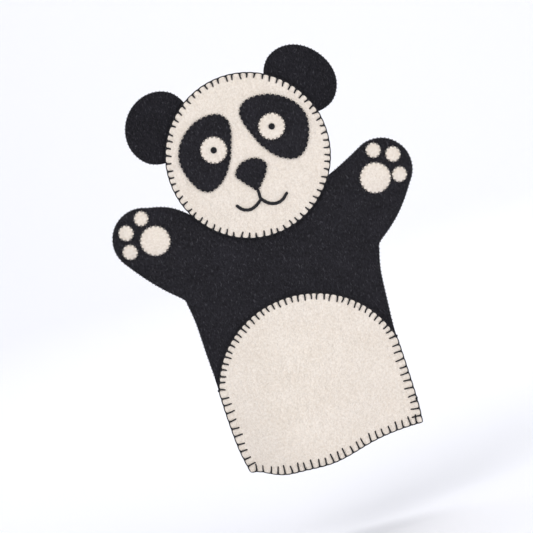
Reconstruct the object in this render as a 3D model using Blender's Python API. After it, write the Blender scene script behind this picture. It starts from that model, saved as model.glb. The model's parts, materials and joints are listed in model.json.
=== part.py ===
"""A glove puppet of a bear, cut from flat wool felt and stitched round its edges by hand.

The frame: +Z runs up the body from the hem to the head, the puppet faces -Y, and the origin is
the middle of the open hem, where the hand goes in. "Left" is the puppet's own left, at +X.
A node that would be one piece of felt across a fold is cut at the fold, where its joint turns.
Sizes are in millimetres until they reach a mesh, which is in metres.
"""

import math

import bmesh
import bpy
from mathutils import Matrix, Vector

MM = 0.001

# Felt, thread and the air between layers
FELT = 2.0
TRIM_FELT = 1.5
THREAD = 0.8
LAYER_GAP = 0.3
SEAM_WIDTH = 4.5
SHEET_GRID = 13.0

# Head and face
HEAD_Z = 214.0
HEAD_RADIUS = 58.0
EAR_RADIUS = 24.8
EAR_REACH = HEAD_RADIUS + 7.2
EAR_ANGLE_DEG = {"left": 39.5, "right": 34.0}
EAR_TUCK = 9.0
EAR_FOLD_CLEAR = 2.5
EAR_SPREAD_START = 6.0
EAR_SPREAD_RUN = 12.0
EYE_PATCH_CENTRE = {"left": (25.5, 228.0), "right": (-27.0, 223.0)}
EYE_PATCH_HALF = (
    (-9.0, 25.5), (-17.0, 23.5), (-21.3, 17.5), (-21.0, 10.0), (-17.8, 0.0), (-13.8, -9.5),
    (-7.5, -18.5), (-1.5, -23.3), (5.5, -25.8), (12.0, -23.5), (17.0, -16.5), (20.2, -6.5),
    (20.5, 2.5), (17.0, 11.5), (10.0, 19.0), (1.0, 24.0),
)
EYE_CENTRE = {"left": (21.5, 229.0), "right": (-22.0, 224.5)}
EYE_RADIUS = 9.7
PUPIL_RADIUS = 2.3
PUPIL_TOP_RADIUS = 1.6
PUPIL_HEIGHT = 1.2
NOSE_CENTRE_Z = 203.0
NOSE_OUTLINE = (
    (0.5, 9.0), (-6.5, 7.5), (-10.5, 3.8), (-12.3, -0.5), (-8.0, -6.5), (-3.0, -12.0),
    (0.0, -15.0), (2.8, -12.0), (8.0, -6.0), (11.3, 0.5), (10.6, 4.0), (6.5, 7.8),
)
MOUTH_CORNER = {"left": (18.6, 181.7), "right": (-17.8, 182.7)}
MOUTH_LOW_Z = {"left": 176.7, "right": 177.6}
MOUTH_TOP_Z = 186.0
MOUTH_START_Z = 182.0
MOUTH_THREAD = 1.3

# Body outline, half of it: the other half is its mirror. The body widens a little on the way up,
# and its upper edge goes in behind the head's rim at the shoulder.
HEM_HALF_WIDTH = 62.0
WAIST_HALF_WIDTH = HEM_HALF_WIDTH + 2.3
WAIST_Z = 42.0
CHEST_HALF_WIDTH = WAIST_HALF_WIDTH + 3.0
CHEST_Z = 110.0
ARMPIT_X = CHEST_HALF_WIDTH + 4.2
ARMPIT_Z = 129.0
PAW_X = ARMPIT_X + 15.5
PAW_Z = 178.0
PAW_RADIUS = 22.2
PAW_ARC_START_DEG = -38.0
PAW_ARC_END_DEG = 112.0
ARM_BOW = 1.5
SIDE_BULGE = 0.8
SHOULDER_Z = 184.3
SHOULDER_X = math.sqrt(HEAD_RADIUS**2 - (HEAD_Z - SHOULDER_Z) ** 2)
NECK_TOP_Z = 190.0
NECK_TOP_HALF_WIDTH = 30.0

# How far the two body panels stand from the middle plane: front, back
HEM_DEPTH = {"front": 23.0, "back": 14.0}
CHEST_DEPTH = {"front": 9.5, "back": 8.5}
NECK_DEPTH = 7.0
NECK_PINCH = 0.35
ARM_DEPTH = 6.5
ARM_ROOT = (25.0, 148.5)
HEAD_DEPTH = 8.0

# Belly panel
BELLY_TOP_Z = 111.0
BELLY_SIDE_Z = 66.0

# Paw pads: the toes keep off the paw's edge and off each other, and the palm keeps off the toes
PALM_PAD_RADIUS = 11.0
PALM_PAD_DEG = 207.2
PALM_PAD_GAP = 1.15
TOE_PAD_RADIUS = 5.4
TOE_PAD_INSET = 8.8
TOE_PAD_GAP = 3.2
TOE_MIDDLE_DEG = 37.0

# Stitches
STITCH_PITCH = 5.0
STITCH_LEG = 4.5
STITCH_WIDTH = 1.0
SEAM_CORD_RADIUS = 0.5

# Folds: each leaves its felt room to bend backwards by this much before the edges meet
NECK_FOLD_Z = 170.0
ARM_FOLD_FOOT = (ARMPIT_X + 0.5, ARMPIT_Z - 2.0)
ARM_FOLD_TOP = (SHOULDER_X + 7.7, SHOULDER_Z + 5.7)
BACK_BEND_DEG = 8.0
EAR_FOLD_GAP = 1.6
NECK_SIDE_GAP = 0.5
SHOULDER_GAP = {"front": 1.4, "back": 2.2}

SIGN = {"left": 1.0, "right": -1.0}
FACING = {"front": -1.0, "back": 1.0}
CUTTER_HALF_DEPTH = 70.0
RIM_SEGMENTS = 72

COLOURS = {
    "black_felt": (0.018, 0.017, 0.021, 1.0),
    "cream_felt": (0.83, 0.76, 0.68, 1.0),
    "black_thread": (0.012, 0.012, 0.015, 1.0),
}


# ---------------------------------------------------------------- scene and materials


def clear_scene():
    for obj in list(bpy.data.objects):
        bpy.data.objects.remove(obj)


def new_collection(name):
    made = bpy.data.collections.new(name)
    bpy.context.scene.collection.children.link(made)
    return made


def new_material(name, roughness):
    made = bpy.data.materials.new(name)
    made.use_nodes = True
    shader = made.node_tree.nodes["Principled BSDF"]
    shader.inputs["Base Color"].default_value = COLOURS[name]
    shader.inputs["Roughness"].default_value = roughness
    shader.inputs["Metallic"].default_value = 0.0
    return made


clear_scene()
PUPPET = new_collection("hand_puppet")
CUTTERS = new_collection("cutters")
MATERIALS = {
    "black_felt": new_material("black_felt", 0.95),
    "cream_felt": new_material("cream_felt", 0.92),
    "black_thread": new_material("black_thread", 0.7),
}


# ---------------------------------------------------------------- outlines


def smooth_path(points, steps=4):
    """A Catmull-Rom curve through the points, ends included."""
    ends = [2 * Vector(points[0]) - Vector(points[1])]
    ends += [Vector(p) for p in points]
    ends += [2 * Vector(points[-1]) - Vector(points[-2])]
    made = []
    for a, b, c, d in zip(ends, ends[1:], ends[2:], ends[3:]):
        for step in range(steps):
            t = step / steps
            made.append(
                0.5 * (2 * b + (c - a) * t + (2 * a - 5 * b + 4 * c - d) * t**2
                       + (3 * b - a - 3 * c + d) * t**3)
            )
    made.append(ends[-2])
    return [(p.x, p.y) for p in made]


def smooth_loop(points, steps=3):
    """A closed Catmull-Rom curve through the points."""
    count = len(points)
    ring = [Vector(p) for p in points]
    made = []
    for i in range(count):
        a, b, c, d = (ring[(i + k) % count] for k in (-1, 0, 1, 2))
        for step in range(steps):
            t = step / steps
            made.append(
                0.5 * (2 * b + (c - a) * t + (2 * a - 5 * b + 4 * c - d) * t**2
                       + (3 * b - a - 3 * c + d) * t**3)
            )
    return [(p.x, p.y) for p in made]


def arc(centre, radius, start_deg, end_deg, count):
    made = []
    for i in range(count + 1):
        angle = math.radians(start_deg + (end_deg - start_deg) * i / count)
        made.append((centre[0] + radius * math.cos(angle), centre[1] + radius * math.sin(angle)))
    return made


def circle(centre, radius, count):
    return arc(centre, radius, 0.0, 360.0, count)[:-1]


def mirrored(points):
    return [(-x, z) for x, z in reversed(points)]


def side_edge():
    """The left edge of the body panel, from the hem corner up to just under the arm."""
    return [
        (HEM_HALF_WIDTH, 0.0),
        (0.5 * (HEM_HALF_WIDTH + WAIST_HALF_WIDTH) + SIDE_BULGE, 0.4 * WAIST_Z),
        (WAIST_HALF_WIDTH, WAIST_Z),
        (WAIST_HALF_WIDTH, BELLY_SIDE_Z),
        (0.5 * (WAIST_HALF_WIDTH + CHEST_HALF_WIDTH), 0.5 * (BELLY_SIDE_Z + CHEST_Z)),
        (CHEST_HALF_WIDTH, CHEST_Z),
        (0.6 * ARMPIT_X + 0.4 * CHEST_HALF_WIDTH, 0.75 * ARMPIT_Z + 0.25 * CHEST_Z),
        (ARMPIT_X, ARMPIT_Z),
    ]


def paw_arc(count=18):
    return arc((PAW_X, PAW_Z), PAW_RADIUS, PAW_ARC_START_DEG, PAW_ARC_END_DEG, count)


def bowed(start, end, bow):
    """Points between two others, moved to the right of the way to the second by a bow."""
    start, end = Vector(start), Vector(end)
    across = Vector((end.y - start.y, start.x - end.x)).normalized()
    return [tuple(start.lerp(end, t) + across * bow * math.sin(math.pi * t)) for t in (0.25, 0.5, 0.75)]


def under_arm():
    """From the armpit to where the paw's arc starts."""
    return bowed((ARMPIT_X, ARMPIT_Z), paw_arc()[0], ARM_BOW)


def over_arm():
    """From the end of the paw's arc down to the shoulder, where the head covers the edge."""
    return bowed(paw_arc()[-1], (SHOULDER_X, SHOULDER_Z), -ARM_BOW)


def half_body():
    lower = smooth_path(side_edge() + under_arm() + [paw_arc()[0]])
    upper = smooth_path(
        [paw_arc()[-1]] + over_arm()
        + [(SHOULDER_X, SHOULDER_Z), (NECK_TOP_HALF_WIDTH, NECK_TOP_Z), (0.0, NECK_TOP_Z)],
        steps=3,
    )
    return lower + paw_arc()[1:-1] + upper


def body_outline():
    half = half_body()
    return half[:-1] + mirrored(half)


def beyond(outline, foot, top, shift=0.0):
    """The part of an outline that lies to the right of a line from foot to top, moved by shift."""
    foot, top = Vector(foot), Vector(top)
    along = (top - foot).normalized()
    outward = Vector((along.y, -along.x))
    made = []
    for a, b in zip(outline, outline[1:] + outline[:1]):
        height_a = (Vector(a) - foot).dot(outward) - shift
        height_b = (Vector(b) - foot).dot(outward) - shift
        if height_a > 0:
            made.append(a)
        if height_a * height_b < 0:
            made.append(tuple(Vector(a).lerp(Vector(b), height_a / (height_a - height_b))))
    return made


def above(outline, height):
    return beyond(outline, (1.0, height), (0.0, height))


def below(outline, height):
    return beyond(outline, (0.0, height), (1.0, height))


def rim_angle_deg(radius, height):
    """The angle at which a circle about the head's centre passes a height, on the left."""
    return math.degrees(math.asin((height - HEAD_Z) / radius))


def head_arc(radius, start_deg, end_deg):
    count = max(4, round(RIM_SEGMENTS * abs(end_deg - start_deg) / 360.0))
    return arc((0.0, HEAD_Z), radius, start_deg, end_deg, count)


def torso_outline(face):
    """The body without its arms, and without the part that goes up into the head. Its shoulders
    leave room for the head's rim, which comes down when the head bends back."""
    line = [ARM_FOLD_TOP, ARM_FOLD_FOOT]
    left = beyond(body_outline(), *line, shift=arm_gap(face) / 2)
    both = beyond(left, *mirrored(line), shift=arm_gap(face) / 2)
    radius = HEAD_RADIUS + SHOULDER_GAP[face]
    top = NECK_FOLD_Z - neck_gap(face) / 2
    notch = head_arc(radius, rim_angle_deg(radius, SHOULDER_Z), rim_angle_deg(radius, top))
    outside = [p for p in both if math.hypot(p[0], p[1] - HEAD_Z) > radius]
    left_side = [p for p in outside if p[0] > 0]
    right_side = [p for p in outside if p[0] < 0]
    return left_side + notch + mirrored(notch) + right_side


def neck_outline(face):
    """The part of the body that goes up into the head."""
    radius = HEAD_RADIUS - NECK_SIDE_GAP
    foot = NECK_FOLD_Z + neck_gap(face) / 2
    side = head_arc(radius, rim_angle_deg(radius, foot), rim_angle_deg(radius, SHOULDER_Z))
    top = [(NECK_TOP_HALF_WIDTH, NECK_TOP_Z)]
    return side + top + mirrored(side + top)


def arm_outline(side, face):
    arm = beyond(half_body(), ARM_FOLD_FOOT, ARM_FOLD_TOP, arm_gap(face) / 2)
    return arm if side == "left" else mirrored(arm)


def side_x(height):
    """Half the body's width at a height from the hem to the armpit."""
    height = min(max(height, 0.0), ARMPIT_Z)
    edge = smooth_path(side_edge())
    for (x0, z0), (x1, z1) in zip(edge, edge[1:]):
        if z0 <= height <= z1:
            return x0 + (x1 - x0) * (height - z0) / (z1 - z0)
    return edge[-1][0]


def belly_arc_circle():
    """Centre height and radius of the circle through the belly's top and its two side corners."""
    rise = BELLY_TOP_Z - BELLY_SIDE_Z
    half = side_x(BELLY_SIDE_Z)
    radius = (half**2 + rise**2) / (2 * rise)
    return BELLY_TOP_Z - radius, radius


def belly_edges(inset=0.0):
    """The hem, the left side, the arc and the right side, each moved in by inset."""
    centre_z, radius = belly_arc_circle()
    edge = [(x - inset, z) for x, z in smooth_path(side_edge()) if z < BELLY_SIDE_Z - 1.0]
    edge[0] = (edge[0][0], inset)
    reach = math.degrees(math.asin((BELLY_SIDE_Z - centre_z) / radius))
    top = arc((0.0, centre_z), radius - inset, reach, 180.0 - reach, 32)
    edge.append(top[0])
    return [[(-edge[0][0], inset), edge[0]], edge, top, mirrored(edge)]


def belly_outline(inset=0.0):
    return [point for run in belly_edges(inset) for point in run[:-1]]


def ear_centre(side):
    angle = math.radians(EAR_ANGLE_DEG[side])
    return SIGN[side] * EAR_REACH * math.cos(angle), HEAD_Z + EAR_REACH * math.sin(angle)


def eye_patch_outline(side):
    centre = EYE_PATCH_CENTRE[side]
    return [(centre[0] + SIGN[side] * x, centre[1] + z) for x, z in smooth_loop(EYE_PATCH_HALF, 2)]


def nose_outline():
    return [(x, NOSE_CENTRE_Z + z) for x, z in smooth_loop(NOSE_OUTLINE, 2)]


def along_path(path, distance):
    """The point at a distance along the path, and the direction there."""
    points = [Vector(p) for p in path]
    for a, b in zip(points, points[1:]):
        length = (b - a).length
        if distance <= length:
            break
        distance -= length
    along = (b - a).normalized()
    return a + along * distance, along


def comb_legs(path, ends_clear):
    """The inner edge of a blanket stitch: in at each pitch for a leg, and back to the cord.
    The path runs anticlockwise, so the felt is on its left."""
    total = sum((Vector(b) - Vector(a)).length for a, b in zip(path, path[1:]))
    count = max(2, round(total / STITCH_PITCH))
    places = range(1, count) if ends_clear else [i + 0.5 for i in range(count)]
    half = STITCH_WIDTH / 2
    made = []
    for place in places:
        for shift, reach in ((-half, half), (-half, STITCH_LEG), (half, STITCH_LEG), (half, half)):
            point, along = along_path(path, place * total / count + shift)
            made.append(tuple(point + Vector((-along.y, along.x)) * reach))
    return made


def moved_left(path, reach):
    """An open path, each point moved to the left of the way it runs."""
    points = [Vector(p) for p in path]
    made = []
    for i, point in enumerate(points):
        along = (points[min(i + 1, len(points) - 1)] - points[max(i - 1, 0)]).normalized()
        made.append(tuple(point + Vector((-along.y, along.x)) * reach))
    return made


def comb(path):
    """Outline of a blanket stitch along an open path: a cord with its legs."""
    half = STITCH_WIDTH / 2
    outer = moved_left(path, -half)
    ends = moved_left(path, half)
    return outer + [ends[-1]] + comb_legs(path, ends_clear=False)[::-1] + [ends[0]]


# ---------------------------------------------------------------- how the felt stands in depth


def dome(share):
    return max(0.0, 1.0 - share * share)


def ease(value):
    value = min(1.0, max(0.0, value))
    return value * value * (3 - 2 * value)


def body_depth(x, z, face):
    """Distance of a body panel's inner face from the middle plane."""
    hem, chest = HEM_DEPTH[face], CHEST_DEPTH[face]
    if z < CHEST_Z:
        middle = hem + (chest - hem) * ease(z / CHEST_Z)
    else:
        middle = chest + (NECK_DEPTH - chest) * ease((z - CHEST_Z) / (NECK_FOLD_Z - CHEST_Z))
    middle *= 1.0 - ease((z - NECK_TOP_Z) / (HEAD_Z - NECK_TOP_Z))
    half = side_x(z) - SEAM_WIDTH
    if z > ARMPIT_Z:
        half *= 1.0 - NECK_PINCH * ease((z - ARMPIT_Z) / (SHOULDER_Z - ARMPIT_Z))
    torso = middle * dome(x / half)
    root = Vector(ARM_ROOT)
    tip = Vector((PAW_X, PAW_Z))
    place = Vector((abs(x), z))
    along = min(1.0, max(0.0, (place - root).dot(tip - root) / (tip - root).length_squared))
    arm = ARM_DEPTH * dome((place - root.lerp(tip, along)).length / (PAW_RADIUS - SEAM_WIDTH))
    return LAYER_GAP / 2 + max(torso, arm)


def slope_factor(depth, x, z, face):
    """How much deeper than its thickness a sheet is, measured along Y, where it slopes."""
    step = SHEET_GRID / 4
    run_x = (depth(x + step, z, face) - depth(x - step, z, face)) / (2 * step)
    run_z = (depth(x, z + step, face) - depth(x, z - step, face)) / (2 * step)
    return math.sqrt(1.0 + run_x * run_x + run_z * run_z)


def body_level(offset):
    """Depth of the surface that lies offset outside a body panel's inner face."""
    def level(x, z, face):
        return body_depth(x, z, face) + offset * slope_factor(body_depth, x, z, face)
    return level


def head_depth(x, z, face):
    """Distance of a head panel's inner face from the middle plane. The rims meet, but they part
    to let the ears and the neck in between them."""
    radius = math.hypot(x, z - HEAD_Z)
    past_ear = min(math.dist((x, z), ear_centre(side)) - EAR_RADIUS for side in SIGN)
    spread = 1.0 - ease((past_ear - EAR_SPREAD_START) / EAR_SPREAD_RUN)
    own = LAYER_GAP / 2 + spread * (TRIM_FELT + LAYER_GAP)
    own += HEAD_DEPTH * dome(radius / (HEAD_RADIUS - SEAM_WIDTH))
    over_body = body_level(FELT + LAYER_GAP)(x, z, face) if z < HEAD_Z else 0.0
    return max(own, over_body)


def head_level(offset):
    def level(x, z, face):
        return head_depth(x, z, face) + offset * slope_factor(head_depth, x, z, face)
    return level


def flat_level(offset):
    def level(x, z, face):
        return LAYER_GAP / 2 + offset
    return level


# ---------------------------------------------------------------- solids


def place_in(collection, name, mesh):
    obj = bpy.data.objects.new(name, mesh)
    collection.objects.link(obj)
    return obj


def sheet(name, material, outline, inner, outer, face, hole=None, grid=SHEET_GRID):
    """A sheet of felt between two levels, over a grid of points that reaches past its outline.
    Every sheet stands on the same grid, so that layers which follow each other keep apart."""
    outlines = [outline] if hole is None else [outline, hole]
    xs = [x for x, _ in outline]
    zs = [z for _, z in outline]
    low_x, low_z = (math.floor(min(v) / grid) - 0.5 for v in (xs, zs))
    high_x, high_z = (math.ceil(max(v) / grid) + 0.5 for v in (xs, zs))
    bm = bmesh.new()
    bmesh.ops.create_grid(
        bm, x_segments=round(high_x - low_x), y_segments=round(high_z - low_z), size=0.5)
    bmesh.ops.triangulate(bm, faces=list(bm.faces), quad_method="FIXED")
    laid = list(bm.verts)
    for vert in laid:
        vert.co = (
            (low_x + (vert.co.x + 0.5) * (high_x - low_x)) * grid, 0.0,
            (low_z + (vert.co.y + 0.5) * (high_z - low_z)) * grid,
        )
    made = bmesh.ops.extrude_face_region(bm, geom=list(bm.faces))["geom"]
    lifted = [item for item in made if isinstance(item, bmesh.types.BMVert)]
    for verts, level in ((laid, inner), (lifted, outer)):
        for vert in verts:
            vert.co.y = FACING[face] * level(vert.co.x, vert.co.z, face)
    for vert in bm.verts:
        vert.co *= MM
    bmesh.ops.recalc_face_normals(bm, faces=list(bm.faces))
    mesh = bpy.data.meshes.new(name)
    bm.to_mesh(mesh)
    bm.free()
    mesh.materials.append(MATERIALS[material])
    obj = place_in(PUPPET, name, mesh)
    cut = obj.modifiers.new("cut_to_shape", "BOOLEAN")
    cut.operation = "INTERSECT"
    cut.object = prism("cut_" + name, *outlines)
    cut.solver = "EXACT"
    return obj


def prism(name, *outlines):
    """A cutter: the outlines, holes included, pushed through the puppet from front to back."""
    curve = bpy.data.curves.new(name + "_outline", "CURVE")
    curve.dimensions = "2D"
    curve.fill_mode = "BOTH"
    curve.extrude = CUTTER_HALF_DEPTH * MM
    for outline in outlines:
        spline = curve.splines.new("POLY")
        spline.points.add(len(outline) - 1)
        for point, (x, z) in zip(spline.points, outline):
            point.co = (x * MM, z * MM, 0.0, 1.0)
        spline.use_cyclic_u = True
    drawn = place_in(CUTTERS, name + "_outline", curve)
    drawn.rotation_euler = (math.pi / 2, 0.0, 0.0)
    bpy.context.view_layer.update()
    graph = bpy.context.evaluated_depsgraph_get()
    mesh = bpy.data.meshes.new_from_object(drawn.evaluated_get(graph))
    bm = bmesh.new()
    bm.from_mesh(mesh)
    bmesh.ops.remove_doubles(bm, verts=list(bm.verts), dist=0.001 * MM)
    bmesh.ops.recalc_face_normals(bm, faces=list(bm.faces))
    bm.to_mesh(mesh)
    bm.free()
    cutter = place_in(CUTTERS, name, mesh)
    cutter.matrix_world = drawn.matrix_world
    bpy.data.objects.remove(drawn)
    cutter.hide_render = True
    cutter.display_type = "WIRE"
    return cutter


def cord(name, path, radius):
    """A thread along the path: points of x, y and z."""
    curve = bpy.data.curves.new(name, "CURVE")
    curve.dimensions = "3D"
    curve.bevel_depth = radius * MM
    curve.bevel_resolution = 1
    curve.use_fill_caps = True
    spline = curve.splines.new("POLY")
    spline.points.add(len(path) - 1)
    for point, place in zip(spline.points, path):
        point.co = (*(value * MM for value in place), 1.0)
    curve.materials.append(MATERIALS["black_thread"])
    return place_in(PUPPET, name, curve)


# ---------------------------------------------------------------- the folds


def fold_gap(reach):
    """The gap between felts this far behind the hinge, which leaves them room to bend back."""
    return 2 * reach * math.tan(math.radians(BACK_BEND_DEG / 2)) + LAYER_GAP


def neck_hinge_y():
    """The neck folds along the front face of the head's front panel."""
    return -(head_level(FELT)(0.0, NECK_FOLD_Z, "front") + LAYER_GAP)


def neck_gap(face):
    if face == "front":
        return fold_gap(-neck_hinge_y() - LAYER_GAP / 2)
    return fold_gap(head_level(FELT + LAYER_GAP + THREAD)(0.0, NECK_FOLD_Z, "back") - neck_hinge_y())


def arm_hinge_y():
    return -(ARM_DEPTH + FELT + 2 * LAYER_GAP)


def arm_gap(face):
    reach = -arm_hinge_y()
    return fold_gap(reach if face == "front" else 2 * reach)


# ---------------------------------------------------------------- the body


def body_panels():
    for face in FACING:
        levels = body_level(0.0), body_level(FELT)
        sheet(f"torso_{face}_panel", "black_felt", torso_outline(face), *levels, face)
        sheet(f"neck_{face}_panel", "black_felt", neck_outline(face), *levels, face)
        for side in SIGN:
            sheet(f"{side}_arm_{face}_panel", "black_felt", arm_outline(side, face), *levels, face)


def belly():
    base = FELT + LAYER_GAP
    sheet("belly_panel", "cream_felt", belly_outline(), body_level(base), body_level(base + FELT), "front")
    runs = belly_edges(inset=STITCH_WIDTH / 2 + LAYER_GAP)
    legs = [point for run in runs for point in [run[0]] + comb_legs(run, ends_clear=True)]
    sheet("belly_blanket_stitch", "black_thread", belly_outline(LAYER_GAP),
          body_level(2 * base), body_level(2 * base + THREAD), "front", hole=legs)


def back_hem():
    """A blanket stitch along the open edge of the back panel, which the front shows on the belly."""
    height = STITCH_WIDTH / 2 + LAYER_GAP
    half = HEM_HALF_WIDTH - SEAM_WIDTH
    base = FELT + LAYER_GAP
    sheet("back_hem_stitch", "black_thread", comb([(-half, height), (half, height)]),
          body_level(base), body_level(base + THREAD), "back")


# ---------------------------------------------------------------- the head


def head_panels():
    """Each round panel is cut at the neck fold. Its lower part stays sewn to the body."""
    disc = circle((0.0, HEAD_Z), HEAD_RADIUS, RIM_SEGMENTS)
    names = {"front": "chin", "back": "nape"}
    radius = HEAD_RADIUS - STITCH_WIDTH / 2
    base = FELT + LAYER_GAP
    felt = head_level(0.0), head_level(FELT)
    thread = head_level(base), head_level(base + THREAD)
    for face in FACING:
        foot = NECK_FOLD_Z + neck_gap(face) / 2
        top = NECK_FOLD_Z - neck_gap(face) / 2
        start = rim_angle_deg(radius, foot)
        upper_rim = head_arc(radius, start, 180.0 - start)
        start = rim_angle_deg(radius, top)
        lower_rim = head_arc(radius, 180.0 - start, 360.0 + start)
        sheet(f"head_{face}_panel", "cream_felt", above(disc, foot), *felt, face)
        sheet(f"{names[face]}_panel", "cream_felt", below(disc, top), *felt, face)
        sheet(f"head_{face}_blanket_stitch", "black_thread", comb(upper_rim), *thread, face)
        sheet(f"{names[face]}_blanket_stitch", "black_thread", comb(lower_rim), *thread, face)


def trim(name, material, outline, level, under):
    """A small piece of felt on the front, above the layers that are under it."""
    sheet(name, material, outline, level(under), level(under + TRIM_FELT), "front")


def face_pieces():
    on_head = FELT + LAYER_GAP
    on_patch = on_head + TRIM_FELT + LAYER_GAP
    trim("nose", "black_felt", nose_outline(), head_level, on_head)
    for side in SIGN:
        trim(f"{side}_eye_patch", "black_felt", eye_patch_outline(side), head_level, on_head)
        trim(f"{side}_eye_disc", "cream_felt", circle(EYE_CENTRE[side], EYE_RADIUS, 32), head_level, on_patch)
        pupil(side, on_patch + TRIM_FELT + LAYER_GAP)
        mouth(side)


def pupil(side, under):
    """A knot of thread: a low button, flat where it sits on the eye."""
    x, z = EYE_CENTRE[side]
    base = head_level(under)(x, z, "front")
    bpy.ops.mesh.primitive_cone_add(
        vertices=16, radius1=PUPIL_RADIUS * MM, radius2=PUPIL_TOP_RADIUS * MM,
        depth=PUPIL_HEIGHT * MM, rotation=(math.pi / 2, 0.0, 0.0),
        location=(x * MM, -(base + PUPIL_HEIGHT / 2) * MM, z * MM))
    made = bpy.context.object
    made.name = f"{side}_pupil"
    made.data.materials.append(MATERIALS["black_thread"])
    for collection in list(made.users_collection):
        collection.objects.unlink(made)
    PUPPET.objects.link(made)


def mouth(side):
    """One half of the mouth. The right half also has the short stitch up to the nose."""
    corner = MOUTH_CORNER[side]
    low = MOUTH_LOW_Z[side]
    start = SIGN[side] * (MOUTH_THREAD / 2 + LAYER_GAP)
    path = [(start, MOUTH_START_Z), (0.22 * corner[0], low + 1.8), (0.5 * corner[0], low),
            (0.78 * corner[0], low + 1.2), corner]
    if side == "right":
        path = [(start, MOUTH_TOP_Z)] + path
    lift = FELT + LAYER_GAP + MOUTH_THREAD / 2
    cord(f"{side}_mouth_stitch",
         [(x, -head_level(lift)(x, z, "front"), z) for x, z in smooth_path(path, 3)], MOUTH_THREAD / 2)


# ---------------------------------------------------------------- the ears


def ear_part(side, low, high):
    """The ear's disc between two distances from the head's centre, measured along the ear's axis."""
    angle = math.radians(EAR_ANGLE_DEG[side])
    axis = Vector((SIGN[side] * math.cos(angle), math.sin(angle)))
    across = Vector((-axis.y, axis.x))
    head = Vector((0.0, HEAD_Z))

    def on_circle(distance):
        return math.sqrt(EAR_RADIUS**2 - (distance - EAR_REACH) ** 2)

    points = []
    start = math.atan2(-on_circle(low), low - EAR_REACH)
    end = math.atan2(-on_circle(high), high - EAR_REACH) if high < EAR_REACH + EAR_RADIUS else 0.0
    for i in range(17):
        turn = start + (end - start) * i / 16
        local = Vector((EAR_REACH + EAR_RADIUS * math.cos(turn), EAR_RADIUS * math.sin(turn)))
        points.append(local)
    points += [Vector((p.x, -p.y)) for p in reversed(points) if abs(p.y) > 1e-6]
    return [tuple(head + axis * p.x + across * p.y) for p in points]


def ears():
    fold = HEAD_RADIUS + EAR_FOLD_CLEAR
    for side in SIGN:
        root = ear_part(side, HEAD_RADIUS - EAR_TUCK, fold - EAR_FOLD_GAP / 2)
        flap = ear_part(side, fold + EAR_FOLD_GAP / 2, EAR_REACH + EAR_RADIUS)
        for face in FACING:
            levels = flat_level(0.0), flat_level(TRIM_FELT)
            for name, outline in (("flap", flap), ("root", root)):
                sheet(f"{side}_ear_{face}_{name}", "black_felt", outline, *levels, face, grid=HEAD_RADIUS)
        edge_cord(f"{side}_ear_seam_stitch", flap[1:-1])


# ---------------------------------------------------------------- the paws and the seams


def on_paw(reach, angle_deg):
    angle = math.radians(angle_deg)
    return PAW_X + reach * math.cos(angle), PAW_Z + reach * math.sin(angle)


def paws():
    """Three toes round the paw's edge, and a palm that lies between them and the body."""
    on_arm = FELT + LAYER_GAP
    toe_reach = PAW_RADIUS - TOE_PAD_INSET
    step = math.degrees(2 * math.asin((TOE_PAD_RADIUS + TOE_PAD_GAP / 2) / toe_reach))
    apart = PALM_PAD_RADIUS + TOE_PAD_RADIUS + PALM_PAD_GAP
    from_toe = math.radians(PALM_PAD_DEG - TOE_MIDDLE_DEG - step)
    palm_reach = toe_reach * math.cos(from_toe) + math.sqrt(apart**2 - (toe_reach * math.sin(from_toe)) ** 2)
    for side in SIGN:
        x, z = on_paw(palm_reach, PALM_PAD_DEG)
        palm = circle((SIGN[side] * x, z), PALM_PAD_RADIUS, 32)
        trim(f"{side}_palm_pad", "cream_felt", palm, body_level, on_arm)
        for number, turn in enumerate((step, 0.0, -step), start=1):
            x, z = on_paw(toe_reach, TOE_MIDDLE_DEG + turn)
            toe = circle((SIGN[side] * x, z), TOE_PAD_RADIUS, 20)
            trim(f"{side}_toe_pad_{number}", "cream_felt", toe, body_level, on_arm)


def edge_cord(name, edge):
    """The overcast stitch that closes two panels, as one cord just outside their edge, which
    runs anticlockwise."""
    path = moved_left(edge, -(SEAM_CORD_RADIUS + LAYER_GAP))
    cord(name, [(x, 0.0, z) for x, z in path], SEAM_CORD_RADIUS)


def seams():
    """Along each arm and each flank, up to the fold and down to the belly's own stitches."""
    clear = arm_gap("back") / 2 + SEAM_CORD_RADIUS
    half = half_body()
    line = [ARM_FOLD_FOOT, ARM_FOLD_TOP]
    arm = beyond(half, *line, shift=clear)
    arm = [p for p in arm if p in half]
    flank = beyond(half, *line[::-1], shift=clear)
    flank = [p for p in flank if p in half and BELLY_SIDE_Z < p[1] < ARM_FOLD_FOOT[1] and p[0] > SHOULDER_X]
    for side in SIGN:
        for name, edge in (("arm", arm), ("side", flank)):
            edge_cord(f"{side}_{name}_seam_stitch", edge if side == "left" else mirrored(edge))


# ---------------------------------------------------------------- what turns with what


def moves_with(name):
    """The fold that a piece turns on, or none for what stays with the torso."""
    side = name.split("_")[0]
    if "_ear_" in name:
        return "neck_fold" if name.endswith("_root") else side + "_ear_fold"
    if any(word in name for word in ("_arm_", "_palm_", "_toe_")):
        return side + "_arm_fold"
    if any(word in name for word in ("head_", "neck_", "nose", "_eye_", "_pupil", "_mouth_")):
        return "neck_fold"
    return None


def fold_place(fold):
    """A point on the fold's straight hinge."""
    if fold == "neck_fold":
        return Vector((0.0, neck_hinge_y(), NECK_FOLD_Z))
    side = fold.split("_")[0]
    if fold.endswith("_arm_fold"):
        middle = Vector(ARM_FOLD_FOOT).lerp(Vector(ARM_FOLD_TOP), 0.5)
        return Vector((SIGN[side] * middle.x, arm_hinge_y(), middle.y))
    reach = (HEAD_RADIUS + EAR_FOLD_CLEAR) / EAR_REACH
    x, z = ear_centre(side)
    return Vector((x * reach, 0.0, HEAD_Z + (z - HEAD_Z) * reach))


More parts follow.
